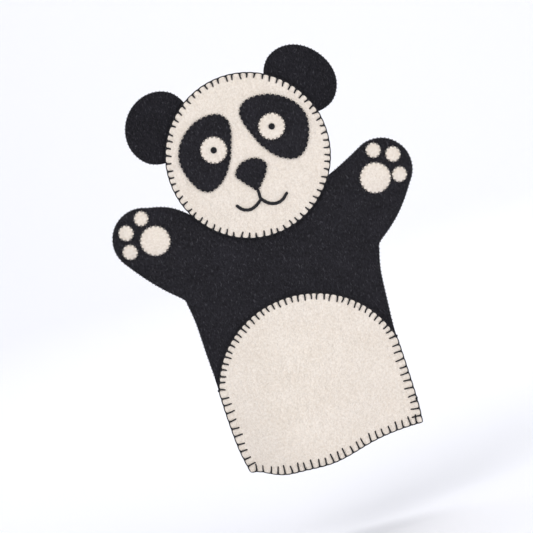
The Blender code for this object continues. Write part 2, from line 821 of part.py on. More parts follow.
def add_pivots():
    pieces = list(PUPPET.objects)
    pivots = {}
    for fold in ("neck_fold", "left_arm_fold", "right_arm_fold", "left_ear_fold", "right_ear_fold"):
        pivots[fold] = place_in(PUPPET, fold, None)
        pivots[fold].location = fold_place(fold) * MM
    bpy.context.view_layer.update()
    owners = [(pivots[side + "_ear_fold"], pivots["neck_fold"]) for side in SIGN]
    owners += [(piece, pivots[moves_with(piece.name)]) for piece in pieces if moves_with(piece.name)]
    for owned, pivot in owners:
        owned.parent = pivot
        owned.matrix_parent_inverse = Matrix.Translation(pivot.location).inverted()


body_panels()
belly()
back_hem()
head_panels()
face_pieces()
ears()
paws()
seams()
add_pivots()
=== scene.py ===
"""A hand puppet: a black and white bear cut from wool felt and sewn together by hand.

The file follows the order in which the puppet is made up: the glove body, the belly, the seams,
the paws, the head, the face, the ears, and last the room. Sizes are in millimetres until they
reach a mesh. +Z runs up the body, the puppet faces -Y and its own left is at +X.
"""

import json
import math
import random

import bmesh
import bpy
import numpy as np
from mathutils import Matrix, Vector, geometry, kdtree

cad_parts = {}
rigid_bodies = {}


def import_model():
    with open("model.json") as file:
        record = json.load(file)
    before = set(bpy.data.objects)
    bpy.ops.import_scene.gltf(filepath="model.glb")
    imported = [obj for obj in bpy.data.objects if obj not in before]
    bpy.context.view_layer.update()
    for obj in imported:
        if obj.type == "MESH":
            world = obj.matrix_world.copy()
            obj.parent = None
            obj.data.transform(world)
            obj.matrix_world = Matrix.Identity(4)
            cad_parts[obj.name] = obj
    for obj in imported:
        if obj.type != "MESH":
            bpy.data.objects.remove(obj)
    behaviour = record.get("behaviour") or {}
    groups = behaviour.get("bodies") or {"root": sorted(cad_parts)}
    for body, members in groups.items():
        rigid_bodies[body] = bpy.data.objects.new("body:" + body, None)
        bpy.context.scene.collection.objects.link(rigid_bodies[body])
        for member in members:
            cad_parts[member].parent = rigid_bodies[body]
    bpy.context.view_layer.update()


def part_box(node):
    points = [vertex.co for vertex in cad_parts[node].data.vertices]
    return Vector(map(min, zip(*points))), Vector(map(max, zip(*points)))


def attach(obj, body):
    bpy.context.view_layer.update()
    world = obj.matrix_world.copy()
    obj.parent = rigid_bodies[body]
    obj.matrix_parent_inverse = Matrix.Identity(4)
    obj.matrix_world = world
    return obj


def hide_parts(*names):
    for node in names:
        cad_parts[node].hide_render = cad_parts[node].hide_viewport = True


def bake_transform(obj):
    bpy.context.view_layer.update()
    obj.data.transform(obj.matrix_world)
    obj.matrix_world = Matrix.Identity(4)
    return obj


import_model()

# ------------------------------------------------------------------------------ the glove body
# Two sheets of 2 mm black wool felt with raised arms, furthest apart at the open hem. Each is made
# as two halves that meet at the middle line, one for each arm, and a neck that goes up between the
# two discs of the head.

MM = 0.001
FELT = 2.0
AIR = 0.3  # between two sheets that lie on each other
SEWN = 0.05  # between two sheets whose edges are sewn together
SEAM_WIDTH = 4.5

head_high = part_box("head_front_panel")[1]
HEAD_RADIUS = head_high.x / MM
HEAD_Z = head_high.z / MM - HEAD_RADIUS

SIDE = {
    "left": [(65.2, -2.0), (66.0, 14.0), (65.4, 42.0), (64.6, 66.0), (65.6, 88.0), (67.1, 110.0),
             (70.2, 124.25), (72.2, 129.0)],
    "right": [(61.6, -1.8), (65.0, 17.0), (66.5, 42.0), (67.0, 66.0), (68.1, 88.0), (68.9, 110.0),
              (70.8, 124.25), (72.3, 129.0)],
}
ARMPIT_Z = 129.0
CHEST_Z = 110.0
PAW = (87.0, 178.0)
PAW_RADIUS = 22.2
PAW_ARC_DEG = (-38.0, 112.0)
ARM_BOW = {"left": 2.6, "right": 1.5}
ARM_TOP_BOW = {"left": -0.4, "right": 3.0}
SHOULDER = (49.82, 184.3)
NECK_TOP_Z = 190.0
NECK_TOP_HALF = 30.0
NECK_CUT = 52.0
# Each droop of the open edge: its middle, its reach, its depth, and how full it stays sideways.
HEM_DROOPS = {"front": [(-9.0, 33.0, 6.4, 2), (-41.0, 16.0, 4.0, 8)],
              "back": [(0.0, 33.0, 1.2, 2)]}
HEM_DEPTH = {"front": 25.0, "back": 14.0}
HEM_LEAN = {"front": 0.30, "back": 0.0}
HEM_LEAN_TOP = 95.0
CHEST_DEPTH = {"front": 9.5, "back": 8.5}
NECK_DEPTH = 7.0
NECK_DEPTH_Z = 170.0
NECK_PINCH = 0.35
ARM_DEPTH = 6.5
ARM_ROOT = (25.0, 148.5)
LOOSE_RISE = 4.0  # from this rise up the felt is free to be uneven
FACING = {"front": -1.0, "back": 1.0}
SIGN = {"left": 1.0, "right": -1.0}


def smooth_path(points, steps=8):
    """A Catmull-Rom curve through the points, ends included."""
    ends = [2 * Vector(points[0]) - Vector(points[1])]
    ends += [Vector(p) for p in points]
    ends += [2 * Vector(points[-1]) - Vector(points[-2])]
    made = []
    for a, b, c, d in zip(ends, ends[1:], ends[2:], ends[3:]):
        for step in range(steps):
            t = step / steps
            made.append(0.5 * (2 * b + (c - a) * t + (2 * a - 5 * b + 4 * c - d) * t**2
                               + (3 * b - a - 3 * c + d) * t**3))
    made.append(ends[-2])
    return [tuple(p) for p in made]


def arc(centre, radius, start_deg, end_deg, count=24):
    turns = [math.radians(start_deg + (end_deg - start_deg) * i / count) for i in range(count + 1)]
    return [(centre[0] + radius * math.cos(a), centre[1] + radius * math.sin(a)) for a in turns]


def mirrored(points):
    return [(-x, z) for x, z in reversed(points)]


def bowed(start, end, bow):
    start, end = Vector(start), Vector(end)
    across = Vector((end.y - start.y, start.x - end.x)).normalized()
    return [tuple(start.lerp(end, t) + across * bow * math.sin(math.pi * t))
            for t in (0.25, 0.5, 0.75)]


def ease(value):
    value = np.clip(value, 0.0, 1.0)
    return value * value * (3 - 2 * value)


def crown(share):
    """1 in the middle, and 0 with no crease at the edge of the raised part."""
    square = np.minimum(share * share, 1.0)
    return (1 - square) ** 2 * (1 + 0.9 * square)


def both(a, b, sharp=3.0):
    """The higher of two rises, with the valley between them filled."""
    return (np.maximum(a, 0.0) ** sharp + np.maximum(b, 0.0) ** sharp) ** (1 / sharp)


SWELL_WAVES = 7
SWELL_PEAK = 3.7  # seven waves seldom add up to more


def swell(x, z, wave, height, seed):
    """The gentle unevenness of felt that a hand has shaped."""
    draw = random.Random(seed)
    total = 0.0
    for _ in range(SWELL_WAVES):
        turn, phase = draw.uniform(0, 2 * math.pi), draw.uniform(0, 2 * math.pi)
        rate = 2 * math.pi / (wave * draw.uniform(0.7, 1.5))
        total = total + np.sin(rate * (x * math.cos(turn) + z * math.sin(turn)) + phase)
    return total * height / SWELL_PEAK


SIDE_CURVE = {side: np.array(smooth_path(SIDE[side], 4)) for side in SIGN}


def side_x(z, side):
    return np.interp(z, SIDE_CURVE[side][:, 1], SIDE_CURVE[side][:, 0])


def hem_z(x, face):
    """The open edge droops between its corners, where the two sheets are sewn together."""
    (left_x, left_z), (right_x, right_z) = SIDE["left"][0], SIDE["right"][0]
    share = (x + right_x) / (left_x + right_x)
    droop = 0.0
    for middle, reach, depth, fullness in HEM_DROOPS[face]:
        hang = depth * np.exp(-(((x - middle) / reach) ** 2))
        droop = droop + hang * (1 - (2 * share - 1) ** fullness)
    return right_z + (left_z - right_z) * share - droop


def shape_of_body(x, z, face):
    """How far the inside of a body sheet stands from the middle plane."""
    hem, chest = HEM_DEPTH[face], CHEST_DEPTH[face]
    lower = hem + (chest - hem) * ease(z / CHEST_Z)
    upper = chest + (NECK_DEPTH - chest) * ease((z - CHEST_Z) / (NECK_DEPTH_Z - CHEST_Z))
    middle = np.where(z < CHEST_Z, lower, upper)
    middle = middle * (1 - ease((z - NECK_TOP_Z) / (HEAD_Z - NECK_TOP_Z)))
    half = np.where(x > 0, side_x(z, "left"), side_x(z, "right")) - SEAM_WIDTH
    half = half * (1 - NECK_PINCH * ease((z - ARMPIT_Z) / (SHOULDER[1] - ARMPIT_Z)))
    across = np.clip(x / half, -1, 1)
    across = across + HEM_LEAN[face] * (1 - across**2) * (1 - ease(z / HEM_LEAN_TOP))
    root, tip = np.array(ARM_ROOT), np.array(PAW)
    run = tip - root
    side = np.abs(x) - root[0], z - root[1]
    along = np.clip((side[0] * run[0] + side[1] * run[1]) / (run @ run), 0, 1)
    off = np.hypot(side[0] - along * run[0], side[1] - along * run[1])
    torso = middle * crown(across)
    arm = ARM_DEPTH * crown(off / (PAW_RADIUS - SEAM_WIDTH))
    rise = both(torso, arm)
    loose = np.minimum(rise / LOOSE_RISE, 1.0)
    uneven = swell(x, z, 46.0, 0.5, face + "_wide") + swell(x, z, 15.0, 0.12, face)
    return SEWN / 2 + rise + loose * uneven


class Chart:
    """A rise measured once on a 1 mm grid and read between its points, which is much quicker."""

    LOW, HIGH = (-114.0, -8.0), (114.0, 286.0)

    def __init__(self, shape, face):
        xs = np.arange(self.LOW[0], self.HIGH[0] + 1.0)
        zs = np.arange(self.LOW[1], self.HIGH[1] + 1.0)
        grid = np.meshgrid(xs, zs, indexing="ij")
        self.rise = shape(grid[0].ravel(), grid[1].ravel(), face).reshape(grid[0].shape)
        self.rows = self.rise.tolist()

    def __call__(self, x, z):
        u, v = x - self.LOW[0], z - self.LOW[1]
        if isinstance(x, float):
            i = min(max(int(u), 0), len(self.rows) - 2)
            j = min(max(int(v), 0), len(self.rows[0]) - 2)
            a, b = self.rows[i], self.rows[i + 1]
            s, t = u - i, v - j
            return (a[j] * (1 - t) + a[j + 1] * t) * (1 - s) + (b[j] * (1 - t) + b[j + 1] * t) * s
        i = np.clip(u.astype(int), 0, self.rise.shape[0] - 2)
        j = np.clip(v.astype(int), 0, self.rise.shape[1] - 2)
        s, t = u - i, v - j
        r = self.rise
        return ((r[i, j] * (1 - t) + r[i, j + 1] * t) * (1 - s)
                + (r[i + 1, j] * (1 - t) + r[i + 1, j + 1] * t) * s)


def over(rise, offset, step=0.8, steepest=4.0):
    """The level that lies offset above another one, measured square to the cloth."""
    def level(x, z):
        run_x = (rise(x + step, z) - rise(x - step, z)) / (2 * step)
        run_z = (rise(x, z + step) - rise(x, z - step)) / (2 * step)
        slope = run_x * run_x + run_z * run_z
        return rise(x, z) + offset * np.sqrt(1 + np.minimum(slope, steepest))
    return level


BODY = {face: Chart(shape_of_body, face) for face in FACING}


def body_level(face, offset=0.0):
    return over(BODY[face], offset)


def even(points, step, closed=True):
    """The same path with points at even distances, and its corners kept."""
    ends = list(zip(points, points[1:] + points[:1])) if closed else list(zip(points, points[1:]))
    made = []
    for a, b in ends:
        count = max(1, round(math.dist(a, b) / step))
        made += [(a[0] + (b[0] - a[0]) * i / count, a[1] + (b[1] - a[1]) * i / count)
                 for i in range(count)]
    if not closed:
        made.append(points[-1])
    return made


def thinned(points, step):
    """A path without the points that crowd the one before them."""
    kept = [points[0]]
    for point in points[1:]:
        if math.dist(point, kept[-1]) > step:
            kept.append(point)
    if math.dist(kept[-1], kept[0]) < step:
        kept.pop()
    return kept


def outward(points):
    """The direction out of an anticlockwise outline at each of its points."""
    p = np.array(points)
    along = np.roll(p, -1, 0) - np.roll(p, 1, 0)
    along /= np.maximum(np.linalg.norm(along, axis=1, keepdims=True), 1e-9)
    return np.stack([along[:, 1], -along[:, 0]], 1)


def inside(points, outline):
    """Which of the points lie in the outline."""
    x, z = points[:, 0], points[:, 1]
    hit = np.zeros(len(points), bool)
    for (x0, z0), (x1, z1) in zip(outline, np.roll(outline, -1, 0)):
        if z0 != z1:
            crosses = (z0 > z) != (z1 > z)
            hit ^= crosses & (x < (x1 - x0) * (z - z0) / (z1 - z0) + x0)
    return hit


def gaps(points, others):
    """How far each of the points is from the nearest of the others."""
    tree = kdtree.KDTree(len(others))
    for i, p in enumerate(others):
        tree.insert((p[0], p[1], 0.0), i)
    tree.balance()
    return np.array([tree.find((x, z, 0.0))[2] for x, z in points])


EDGE_BANDS = (1.0, 1.3, 1.7, 2.0)
ROW_HEIGHT = 0.866


def filled(ring, normal, edge, rounded, step, grid):
    """Points that fill the edge's outline, closest together beside it, the triangles between
    them, and which of the points go round the edge."""
    points = list(edge)
    reach = rounded
    for band in EDGE_BANDS:
        reach += band * step
        row = ring - normal * reach
        row = row[::2] if band > 1.5 else row
        points += list(row[inside(row, edge) & (gaps(row, edge) > (reach - rounded) * 0.8)])
    low, high = edge.min(0), edge.max(0)
    rows = np.arange(low[1], high[1], grid * ROW_HEIGHT)
    field = np.array([(x + (k % 2) * grid / 2, z) for k, z in enumerate(rows)
                      for x in np.arange(low[0], high[0], grid)])
    field = field[inside(field, edge)]
    points += list(field[gaps(field, edge) > reach - rounded + grid * 0.6])
    loop = list(range(len(edge)))
    made = geometry.delaunay_2d_cdt([Vector(p) for p in points], [], [loop], 1, 1e-5)
    place = {source[0]: i for i, source in enumerate(made[3]) if source and source[0] < len(loop)}
    triangles = [f for f in made[2] if len(f) == 3]
    used = sorted({i for f in triangles for i in f})
    new = {old: i for i, old in enumerate(used)}
    flat = np.array([tuple(made[0][i]) for i in used])
    return flat, [tuple(new[i] for i in f) for f in triangles], [new[place[i]] for i in loop]


ROUND_SHARE = 0.29
EDGE_MAP = (0.0, 0.45, 0.95, 1.6, 2.1, 2.7)


def felt_sheet(name, outline, face, level, thick=FELT, step=1.0, grid=2.4, rounded=0.6,
               joined=None, stitches=(), pull=0.3, pull_reach=0.8, press=0.2, press_reach=0.9,
               puff=0.0, puff_reach=1.6, cut_from=None):
    """A sheet of felt over a level, with its cut edge rounded. The edge is drawn in where a stitch
    goes over it, and the surface is pressed down under the stitch. joined says where the outline
    only meets a neighbour that is cut_from the same sheet, with the fibres running through."""
    ring = thinned(even(thinned(outline, step * 0.4), step), step * 0.45)
    normal = outward(ring)
    ring = np.array(ring)
    free = np.array([0.0 if joined and joined(x, z) else 1.0 for x, z in ring])[:, None]
    if stitches:
        gap = gaps(ring, [point for point, _, _ in stitches])
        ring = ring - normal * free * (pull * np.exp(-((gap / pull_reach) ** 2)))[:, None]
    edge = ring - normal * (rounded * free)
    flat, triangles, around = filled(ring, normal, edge, rounded, step, grid)

    def faced(p, depth):
        return np.stack([p[:, 0], FACING[face] * depth, p[:, 1]], 1)

    x, z = flat.T
    base = level(x, z)
    lifted = over(level, thick)(x, z) - base
    lifted = lifted + puff * (1 - np.exp(-gaps(flat, ring) / puff_reach)) - puff * 0.3
    if stitches:
        legs = [np.array(point) + np.array(leg) * t
                for point, leg, _ in stitches for t in (0.0, 0.25, 0.5, 0.75, 1.0)]
        lifted = lifted - press * np.exp(-((gaps(flat, legs) / press_reach) ** 2))
    low, high = base[around], lifted[around]
    bevel = ROUND_SHARE * rounded
    profile = ((bevel, high - bevel), (0.0, high - rounded), (0.0, rounded), (bevel, bevel))
    walls = [faced(ring - normal * (inset * free), low + depth) for inset, depth in profile]
    verts = np.concatenate([faced(flat, base + lifted), faced(flat, base)] + walls) * MM

    m, n = len(flat), len(ring)
    rings = [around] + [[2 * m + k * n + i for i in range(n)] for k in range(len(walls))]
    rings += [[m + i for i in around]]
    draw = random.Random(cut_from or name)
    shift = np.array([draw.uniform(0, 3), draw.uniform(0, 3)])
    uv_flat = flat * MM + shift
    uv_ring = [(ring + normal * s) * MM + shift for s in EDGE_MAP]
    faces, uvs = [], []
    for f in triangles:
        faces += [f, tuple(m + i for i in reversed(f))]
        uvs += [[uv_flat[i] for i in f], [uv_flat[i] + 0.5 for i in reversed(f)]]
    for k, (a, b) in enumerate(zip(rings, rings[1:])):
        for i in range(n):
            j = (i + 1) % n
            faces.append((a[i], b[i], b[j], a[j]))
            uvs.append([uv_ring[k][i], uv_ring[k + 1][i], uv_ring[k + 1][j], uv_ring[k][j]])
    sheet = solid(name, verts, faces, uvs, "Felt")
    if joined:
        places = [v.co / MM for v in sheet.data.vertices]
        for line in sheet.data.edges:
            line.use_edge_sharp = all(joined(places[i].x, places[i].z) for i in line.vertices)
    return sheet


def solid(name, verts, faces, uvs, map_name):
    """A smooth closed mesh whose faces point outwards, with its own flat map."""
    mesh = bpy.data.meshes.new(name)
    mesh.from_pydata([tuple(v) for v in verts], [], faces)
    layer = mesh.uv_layers.new(name=map_name)
    places = [c for face in uvs for uv in face for c in uv]
    layer.data.foreach_set("uv", np.array(places, np.float32))
    bm = bmesh.new()
    bm.from_mesh(mesh)
    bmesh.ops.recalc_face_normals(bm, faces=list(bm.faces))
    bm.to_mesh(mesh)
    bm.free()
    mesh.polygons.foreach_set("use_smooth", [True] * len(mesh.polygons))
    obj = bpy.data.objects.new(name, mesh)
    bpy.context.scene.collection.objects.link(obj)
    return obj


class Pattern:
    """A group of shader nodes that turns a place on the cloth into its colour and its relief."""

    def __init__(self, name, given, made):
        self.group = bpy.data.node_groups.new(name, "ShaderNodeTree")
        for flow, sockets in (("INPUT", given), ("OUTPUT", made)):
            for label, kind in sockets.items():
                self.group.interface.new_socket(
                    name=label, in_out=flow, socket_type="NodeSocket" + kind)
        self.given = self.group.nodes.new("NodeGroupInput").outputs
        self.made = self.group.nodes.new("NodeGroupOutput").inputs

    def node(self, kind, inputs, **settings):
        """A node whose inputs are values or the outputs of other nodes. Returns its outputs."""
        new = self.group.nodes.new("ShaderNode" + kind)
        for label, value in settings.items():
            setattr(new, label, value)
        for label, value in inputs.items():
            if isinstance(value, bpy.types.NodeSocket):
                self.group.links.new(value, new.inputs[label])
            else:
                new.inputs[label].default_value = value
        return new.outputs

    def math(self, kind, *values, clamp=False):
        return self.node("Math", dict(enumerate(values)), operation=kind, use_clamp=clamp)[0]

    def ramp(self, value, low, high, kind="SMOOTHSTEP"):
        given = {"Value": value, "From Min": low, "From Max": high}
        return self.node("MapRange", given, interpolation_type=kind)["Result"]

    def mix(self, share, a, b):
        return self.node("Mix", {0: share, 6: a, 7: b}, data_type="RGBA")[2]

    def give(self, **results):
        for label, value in results.items():
            self.group.links.new(value, self.made[label])
        return self.group


def felt_fibres():
    """Matted wool: broad clouds of shade, clumps a millimetre or two across, crossing fibres, and
    a few single light fibres on the surface."""
    wool = Pattern("matted_wool",
                   {"Place": "Vector", "Ground": "Color", "Shade": "Color", "Light": "Color",
                    "Fleck": "Color", "Fleck Amount": "Float"},
                   {"Colour": "Color", "Height": "Float", "Roughness": "Float"})
    given, place = wool.given, wool.given["Place"]

    def noise(at, scale, detail=3.0, rough=0.55, warp=0.0):
        return wool.node("TexNoise", {"Vector": at, "Scale": scale, "Detail": detail,
                                      "Roughness": rough, "Distortion": warp})

    def drawn_out(turn_deg, long):
        """The place, bent a little and stretched along one direction."""
        return wool.node("Mapping", {"Vector": bent, "Scale": (1.0, long, 1.0),
                                     "Rotation": (0.0, 0.0, math.radians(turn_deg))})[0]

    bend = noise(place, 220.0, 2.0)["Color"]
    bent = wool.node("VectorMath", {0: bend, 1: (0.0045, 0.0045, 0.0), 2: place},
                     operation="MULTIPLY_ADD")[0]
    clouds = noise(place, 45.0, 4.0, 0.6)["Fac"]
    clumps = noise(place, 620.0, 5.0, 0.7, 0.4)["Fac"]
    fine = noise(place, 1900.0, 3.0, 0.7)["Fac"]
    strands = [wool.ramp(noise(drawn_out(turn, long), 2300.0, 2.0, 0.5)["Fac"], 0.52, 0.78)
               for turn, long in ((12.0, 0.12), (74.0, 0.14), (131.0, 0.11))]
    fibres = wool.math("MAXIMUM", wool.math("MAXIMUM", strands[0], strands[1]), strands[2])
    tone = wool.math("ADD", wool.math("MULTIPLY", clouds, 0.22),
                     wool.math("MULTIPLY", clumps, 0.78))
    colour = wool.mix(wool.ramp(tone, 0.38, 0.62), given["Shade"], given["Ground"])
    light = wool.math("MULTIPLY", fibres, wool.ramp(fine, 0.35, 0.7), clamp=True)
    colour = wool.mix(light, colour, given["Light"])
    single = wool.ramp(noise(drawn_out(40.0, 0.3), 1150.0, 1.0, 0.4)["Fac"], 0.62, 0.72)
    fleck = wool.math("MULTIPLY", single, given["Fleck Amount"], clamp=True)
    height = wool.math("ADD", wool.math("MULTIPLY", clumps, 0.55),
                       wool.math("MULTIPLY", fibres, 0.28))
    return wool.give(
        Colour=wool.mix(fleck, colour, given["Fleck"]),
        Height=wool.math("ADD", height, wool.math("MULTIPLY", fine, 0.25)),
        Roughness=wool.math("SUBTRACT", 1.0, wool.math("MULTIPLY", fibres, 0.12)))


MATTED_WOOL = felt_fibres()


def cloth_material(name, pattern, map_name, given, surface, relief):
    """A finish from a pattern laid on a flat map. relief is its strength and its height."""
    made = bpy.data.materials.new(name)
    made.use_nodes = True
    nodes, links = made.node_tree.nodes, made.node_tree.links
    shader = nodes["Principled BSDF"]
    cloth = nodes.new("ShaderNodeGroup")
    cloth.node_tree = pattern
    bump = nodes.new("ShaderNodeBump")
    bump.inputs["Strength"].default_value, bump.inputs["Distance"].default_value = relief
    for sockets, values in ((shader.inputs, surface), (cloth.inputs, given)):
        for label, value in values.items():
            sockets[label].default_value = (*value, 1.0) if isinstance(value, tuple) else value
    laid = nodes.new("ShaderNodeUVMap")
    laid.uv_map = map_name
    links.new(laid.outputs["UV"], cloth.inputs["Place"])
    links.new(cloth.outputs["Colour"], shader.inputs["Base Color"])
    if "Roughness" in cloth.outputs:
        links.new(cloth.outputs["Roughness"], shader.inputs["Roughness"])
    links.new(cloth.outputs["Height"], bump.inputs["Height"])
    links.new(bump.outputs["Normal"], shader.inputs["Normal"])
    return made


def felt_material(name, ground, shade, light, fleck, fleck_amount, sheen):
    return cloth_material(
        name, MATTED_WOOL, "Felt",
        {"Ground": ground, "Shade": shade, "Light": light, "Fleck": fleck,
         "Fleck Amount": fleck_amount},
        {"Specular IOR Level": 0.18, "Sheen Weight": sheen, "Sheen Roughness": 0.55,
         "Sheen Tint": (1.0, 0.98, 1.0)}, relief=(1.0, 0.0006))


BLACK_FELT = felt_material(
    "black_wool_felt", ground=(0.0178, 0.0168, 0.0220), shade=(0.0060, 0.0056, 0.0075),
    light=(0.052, 0.050, 0.060), fleck=(0.070, 0.068, 0.078), fleck_amount=0.6, sheen=0.05)
CREAM_FELT = felt_material(
    "cream_wool_felt", ground=(0.925, 0.842, 0.755), shade=(0.80, 0.705, 0.605),
    light=(0.965, 0.91, 0.845), fleck=(0.62, 0.55, 0.49), fleck_amount=0.25, sheen=0.08)


def finish_piece(obj, material, replaced, body=None, bend=None):
    """Gives a piece its finish and hides the parts that it replaces. A piece with no bend is
    attached to its body; a piece with a bend only has its place baked into its mesh.
    """
    obj.data.materials.append(material)
    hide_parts(*replaced)
    if bend is None:
        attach(obj, body)
    else:
        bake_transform(obj)
    return obj


def in_metres(x, y, z):
    return (x * MM, y * MM, z * MM)


FOLD_FOOT = (72.0, 127.0)
FOLD_TOP = (57.52, 190.0)
FOLD_INSIDE = 10.0
FOLD_OUTSIDE = 7.0


def arm_bend(side):
    """The bodies on either side of an arm's fold, and its span: from 10 mm inside the line where
    the arm folds to 7 mm outside it.
    """
    foot, top = Vector(FOLD_FOOT), Vector(FOLD_TOP)
    along = (top - foot).normalized()
    out = Vector((along.y, -along.x))
    start, end = foot - out * FOLD_INSIDE, foot + out * FOLD_OUTSIDE
    sign = SIGN[side]
    return ("torso", side + "_arm",
            in_metres(sign * start.x, 0, start.y), in_metres(sign * end.x, 0, end.y))


NECK_BEND = ("torso", "head", (0.0, 0.0, 0.158), (0.0, 0.0, 0.184))


def paw_edge(count=24):
    return arc(PAW, PAW_RADIUS, *PAW_ARC_DEG, count=count)


def side_line(side):
    """A side's edge from the hem corner to where the paw's arc starts, drawn on the left."""
    start = paw_edge()[0]
    return smooth_path(SIDE[side] + bowed(SIDE[side][-1], start, ARM_BOW[side]) + [start], 6)


def arm_top_line(side):
    end = paw_edge()[-1]
    return smooth_path([end] + bowed(end, SHOULDER, ARM_TOP_BOW[side]) + [SHOULDER], 6)


def hem_run(face, start, end, inset=0.0):
    """The open edge from one place to another across the puppet."""
    return [(float(x), float(hem_z(x, face)) + inset) for x in np.linspace(start, end, 48)]


def hem_all(face, inset=0.0):
    return hem_run(face, inset - SIDE["right"][0][0], SIDE["left"][0][0] - inset, inset)


def neck_cut_deg(radius):
    """Where a circle round the middle of the head is as low as the shoulders."""
    return math.degrees(math.asin((SHOULDER[1] - HEAD_Z) / radius))


def half_outline(side, face):
    neck = arc((0.0, HEAD_Z), NECK_CUT, neck_cut_deg(NECK_CUT), -90.0, 30)
    upper = side_line(side)[1:] + paw_edge(40)[1:-1] + arm_top_line(side) + neck
    if side == "left":
        return hem_run(face, 0.0, SIDE[side][0][0]) + upper
    return hem_run(face, -SIDE[side][0][0], 0.0) + mirrored(upper)


def at_middle(x, z, near=0.02, below_hem=-20.0):
    """On the line where the two halves of a body sheet meet."""
    return abs(x) < near and below_hem < z < HEAD_Z - NECK_CUT + near


def along_path(path, distance):
    """The place at a distance along a path, and the direction of the path there."""
    for a, b in zip(path, path[1:]):
        length = math.dist(a, b)
        if distance <= length or b is path[-1]:
            t = min(1.0, distance / max(length, 1e-9))
            along = ((b[0] - a[0]) / length, (b[1] - a[1]) / length)
            return (a[0] + (b[0] - a[0]) * t, a[1] + (b[1] - a[1]) * t), along
        distance -= length


def stitch_row(path, pitch, length, seed, first=0.5, uneven=0.12, lean_deg=7.0, closed=False):
    """Places of stitches along an anticlockwise path: the point on the edge, the leg that runs in
    from it, and the direction along the edge."""
    draw = random.Random(seed)
    if closed:
        path = path + path[:1]
    total = sum(math.dist(a, b) for a, b in zip(path, path[1:]))
    count = round(total / pitch) if closed else round(total / pitch - 2 * first + 1)
    space = total / count if closed else (total - 2 * first * pitch) / (count - 1)
    made = []
    for i in range(count):
        at = (0.0 if closed else first * pitch) + i * space
        at = min(max(at + draw.uniform(-1, 1) * uneven * pitch * 0.5, 0.01), total - 0.01)
        point, along = along_path(path, at)
        point, along = (float(point[0]), float(point[1])), (float(along[0]), float(along[1]))
        lean = math.radians(draw.uniform(-lean_deg, lean_deg))
        reach = length * (1 + draw.uniform(-1, 1) * uneven)
        inward = (-along[1], along[0])
        leg = tuple(reach * (inward[k] * math.cos(lean) + along[k] * math.sin(lean))
                    for k in (0, 1))
        made.append((point, leg, along))
    return made


OVERCAST_PITCH = 2.7
OVERCAST_LEG = 1.7
OVERCAST_FROM_Z = 68.0
SEAM_ROW = {}
for side in SIGN:
    seam = [p for p in side_line(side) if p[1] > OVERCAST_FROM_Z]
    seam += paw_edge(40)[1:-1] + arm_top_line(side)[:-4]
    seam = seam if side == "left" else mirrored(seam)
    SEAM_ROW[side] = stitch_row(seam, OVERCAST_PITCH, OVERCAST_LEG, side + " seam")

for face in FACING:
    for side in SIGN:
        half = felt_sheet(f"body_{face}_{side}", half_outline(side, face), face, body_level(face),
                          joined=at_middle, stitches=SEAM_ROW[side], pull=0.5, press=0.1,
                          cut_from="body " + face)
        finish_piece(half, BLACK_FELT,
                     (f"torso_{face}_panel", f"{side}_arm_{face}_panel"), bend=arm_bend(side))
    cut_deg = neck_cut_deg(NECK_CUT - AIR)
    lower = arc((0.0, HEAD_Z), NECK_CUT - AIR, -180.0 - cut_deg, cut_deg, 60)
    lobe = lower + [(NECK_TOP_HALF, NECK_TOP_Z), (-NECK_TOP_HALF, NECK_TOP_Z)]
    neck = felt_sheet(f"neck_{face}", lobe, face, body_level(face), rounded=0.3,
                      cut_from="body " + face)
    finish_piece(neck, BLACK_FELT, (f"neck_{face}_panel",), bend=NECK_BEND)

# ----------------------------------------------------------------------------------- the belly
# A cream felt panel as wide as the body, with a round top. A black thread in blanket stitch goes
# round it: at the hem and the sides over the edge of both sheets, along the arc flat on the body.

BELLY_TOP = (-1.5, 111.0)
BELLY_SIDE_Z = {"left": 60.5, "right": 59.0}
THREAD_RADIUS = 0.52
EDGE_INSET = 0.25


def circle_through(a, b, c):
    """Centre and radius of the circle through three points."""
    (ax, az), (bx, bz), (cx, cz) = a, b, c
    d = 2 * (ax * (bz - cz) + bx * (cz - az) + cx * (az - bz))
    aa, bb, cc = ax * ax + az * az, bx * bx + bz * bz, cx * cx + cz * cz
    x = (aa * (bz - cz) + bb * (cz - az) + cc * (az - bz)) / d
    z = (aa * (cx - bx) + bb * (ax - cx) + cc * (bx - ax)) / d
    return (x, z), math.dist((x, z), a)


def belly_side(side):
    """The side edge from the hem corner up to where the arc starts, drawn on the left."""
    return [(float(side_x(z, side)) - EDGE_INSET, float(z))
            for z in np.linspace(SIDE[side][0][1] + EDGE_INSET, BELLY_SIDE_Z[side], 26)]


def belly_lines():
    """The hem, the left side, the arc and the right side, anticlockwise."""
    left, right = belly_side("left"), mirrored(belly_side("right"))
    middle, radius = circle_through(left[-1], BELLY_TOP, right[0])
    start, end = (math.degrees(math.atan2(p[1] - middle[1], p[0] - middle[0]))
                  for p in (left[-1], right[0]))
    return hem_all("front", EDGE_INSET), left, arc(middle, radius, start, end, 60), right


hem, left_side, belly_arc, right_side = belly_lines()
BELLY_ROWS = {
    "hem": stitch_row(hem, 5.0, 5.7, "hem", first=0.75, uneven=0.16),
    "left": stitch_row(left_side, 5.5, 5.4, "left side", first=0.8, uneven=0.16),
    "arc": stitch_row(belly_arc, 4.7, 4.1, "arc", first=0.5),
    "right": stitch_row(right_side, 5.5, 5.4, "right side", first=0.8, uneven=0.16),
}
belly_outline = hem[:-1] + left_side[:-1] + belly_arc[:-1] + right_side[:-1]
belly = felt_sheet("belly", belly_outline, "front", body_level("front", FELT + AIR), pull=0.55,
                   press=0.45, stitches=[s for row in BELLY_ROWS.values() for s in row])
finish_piece(belly, CREAM_FELT, ("belly_panel",), "torso")


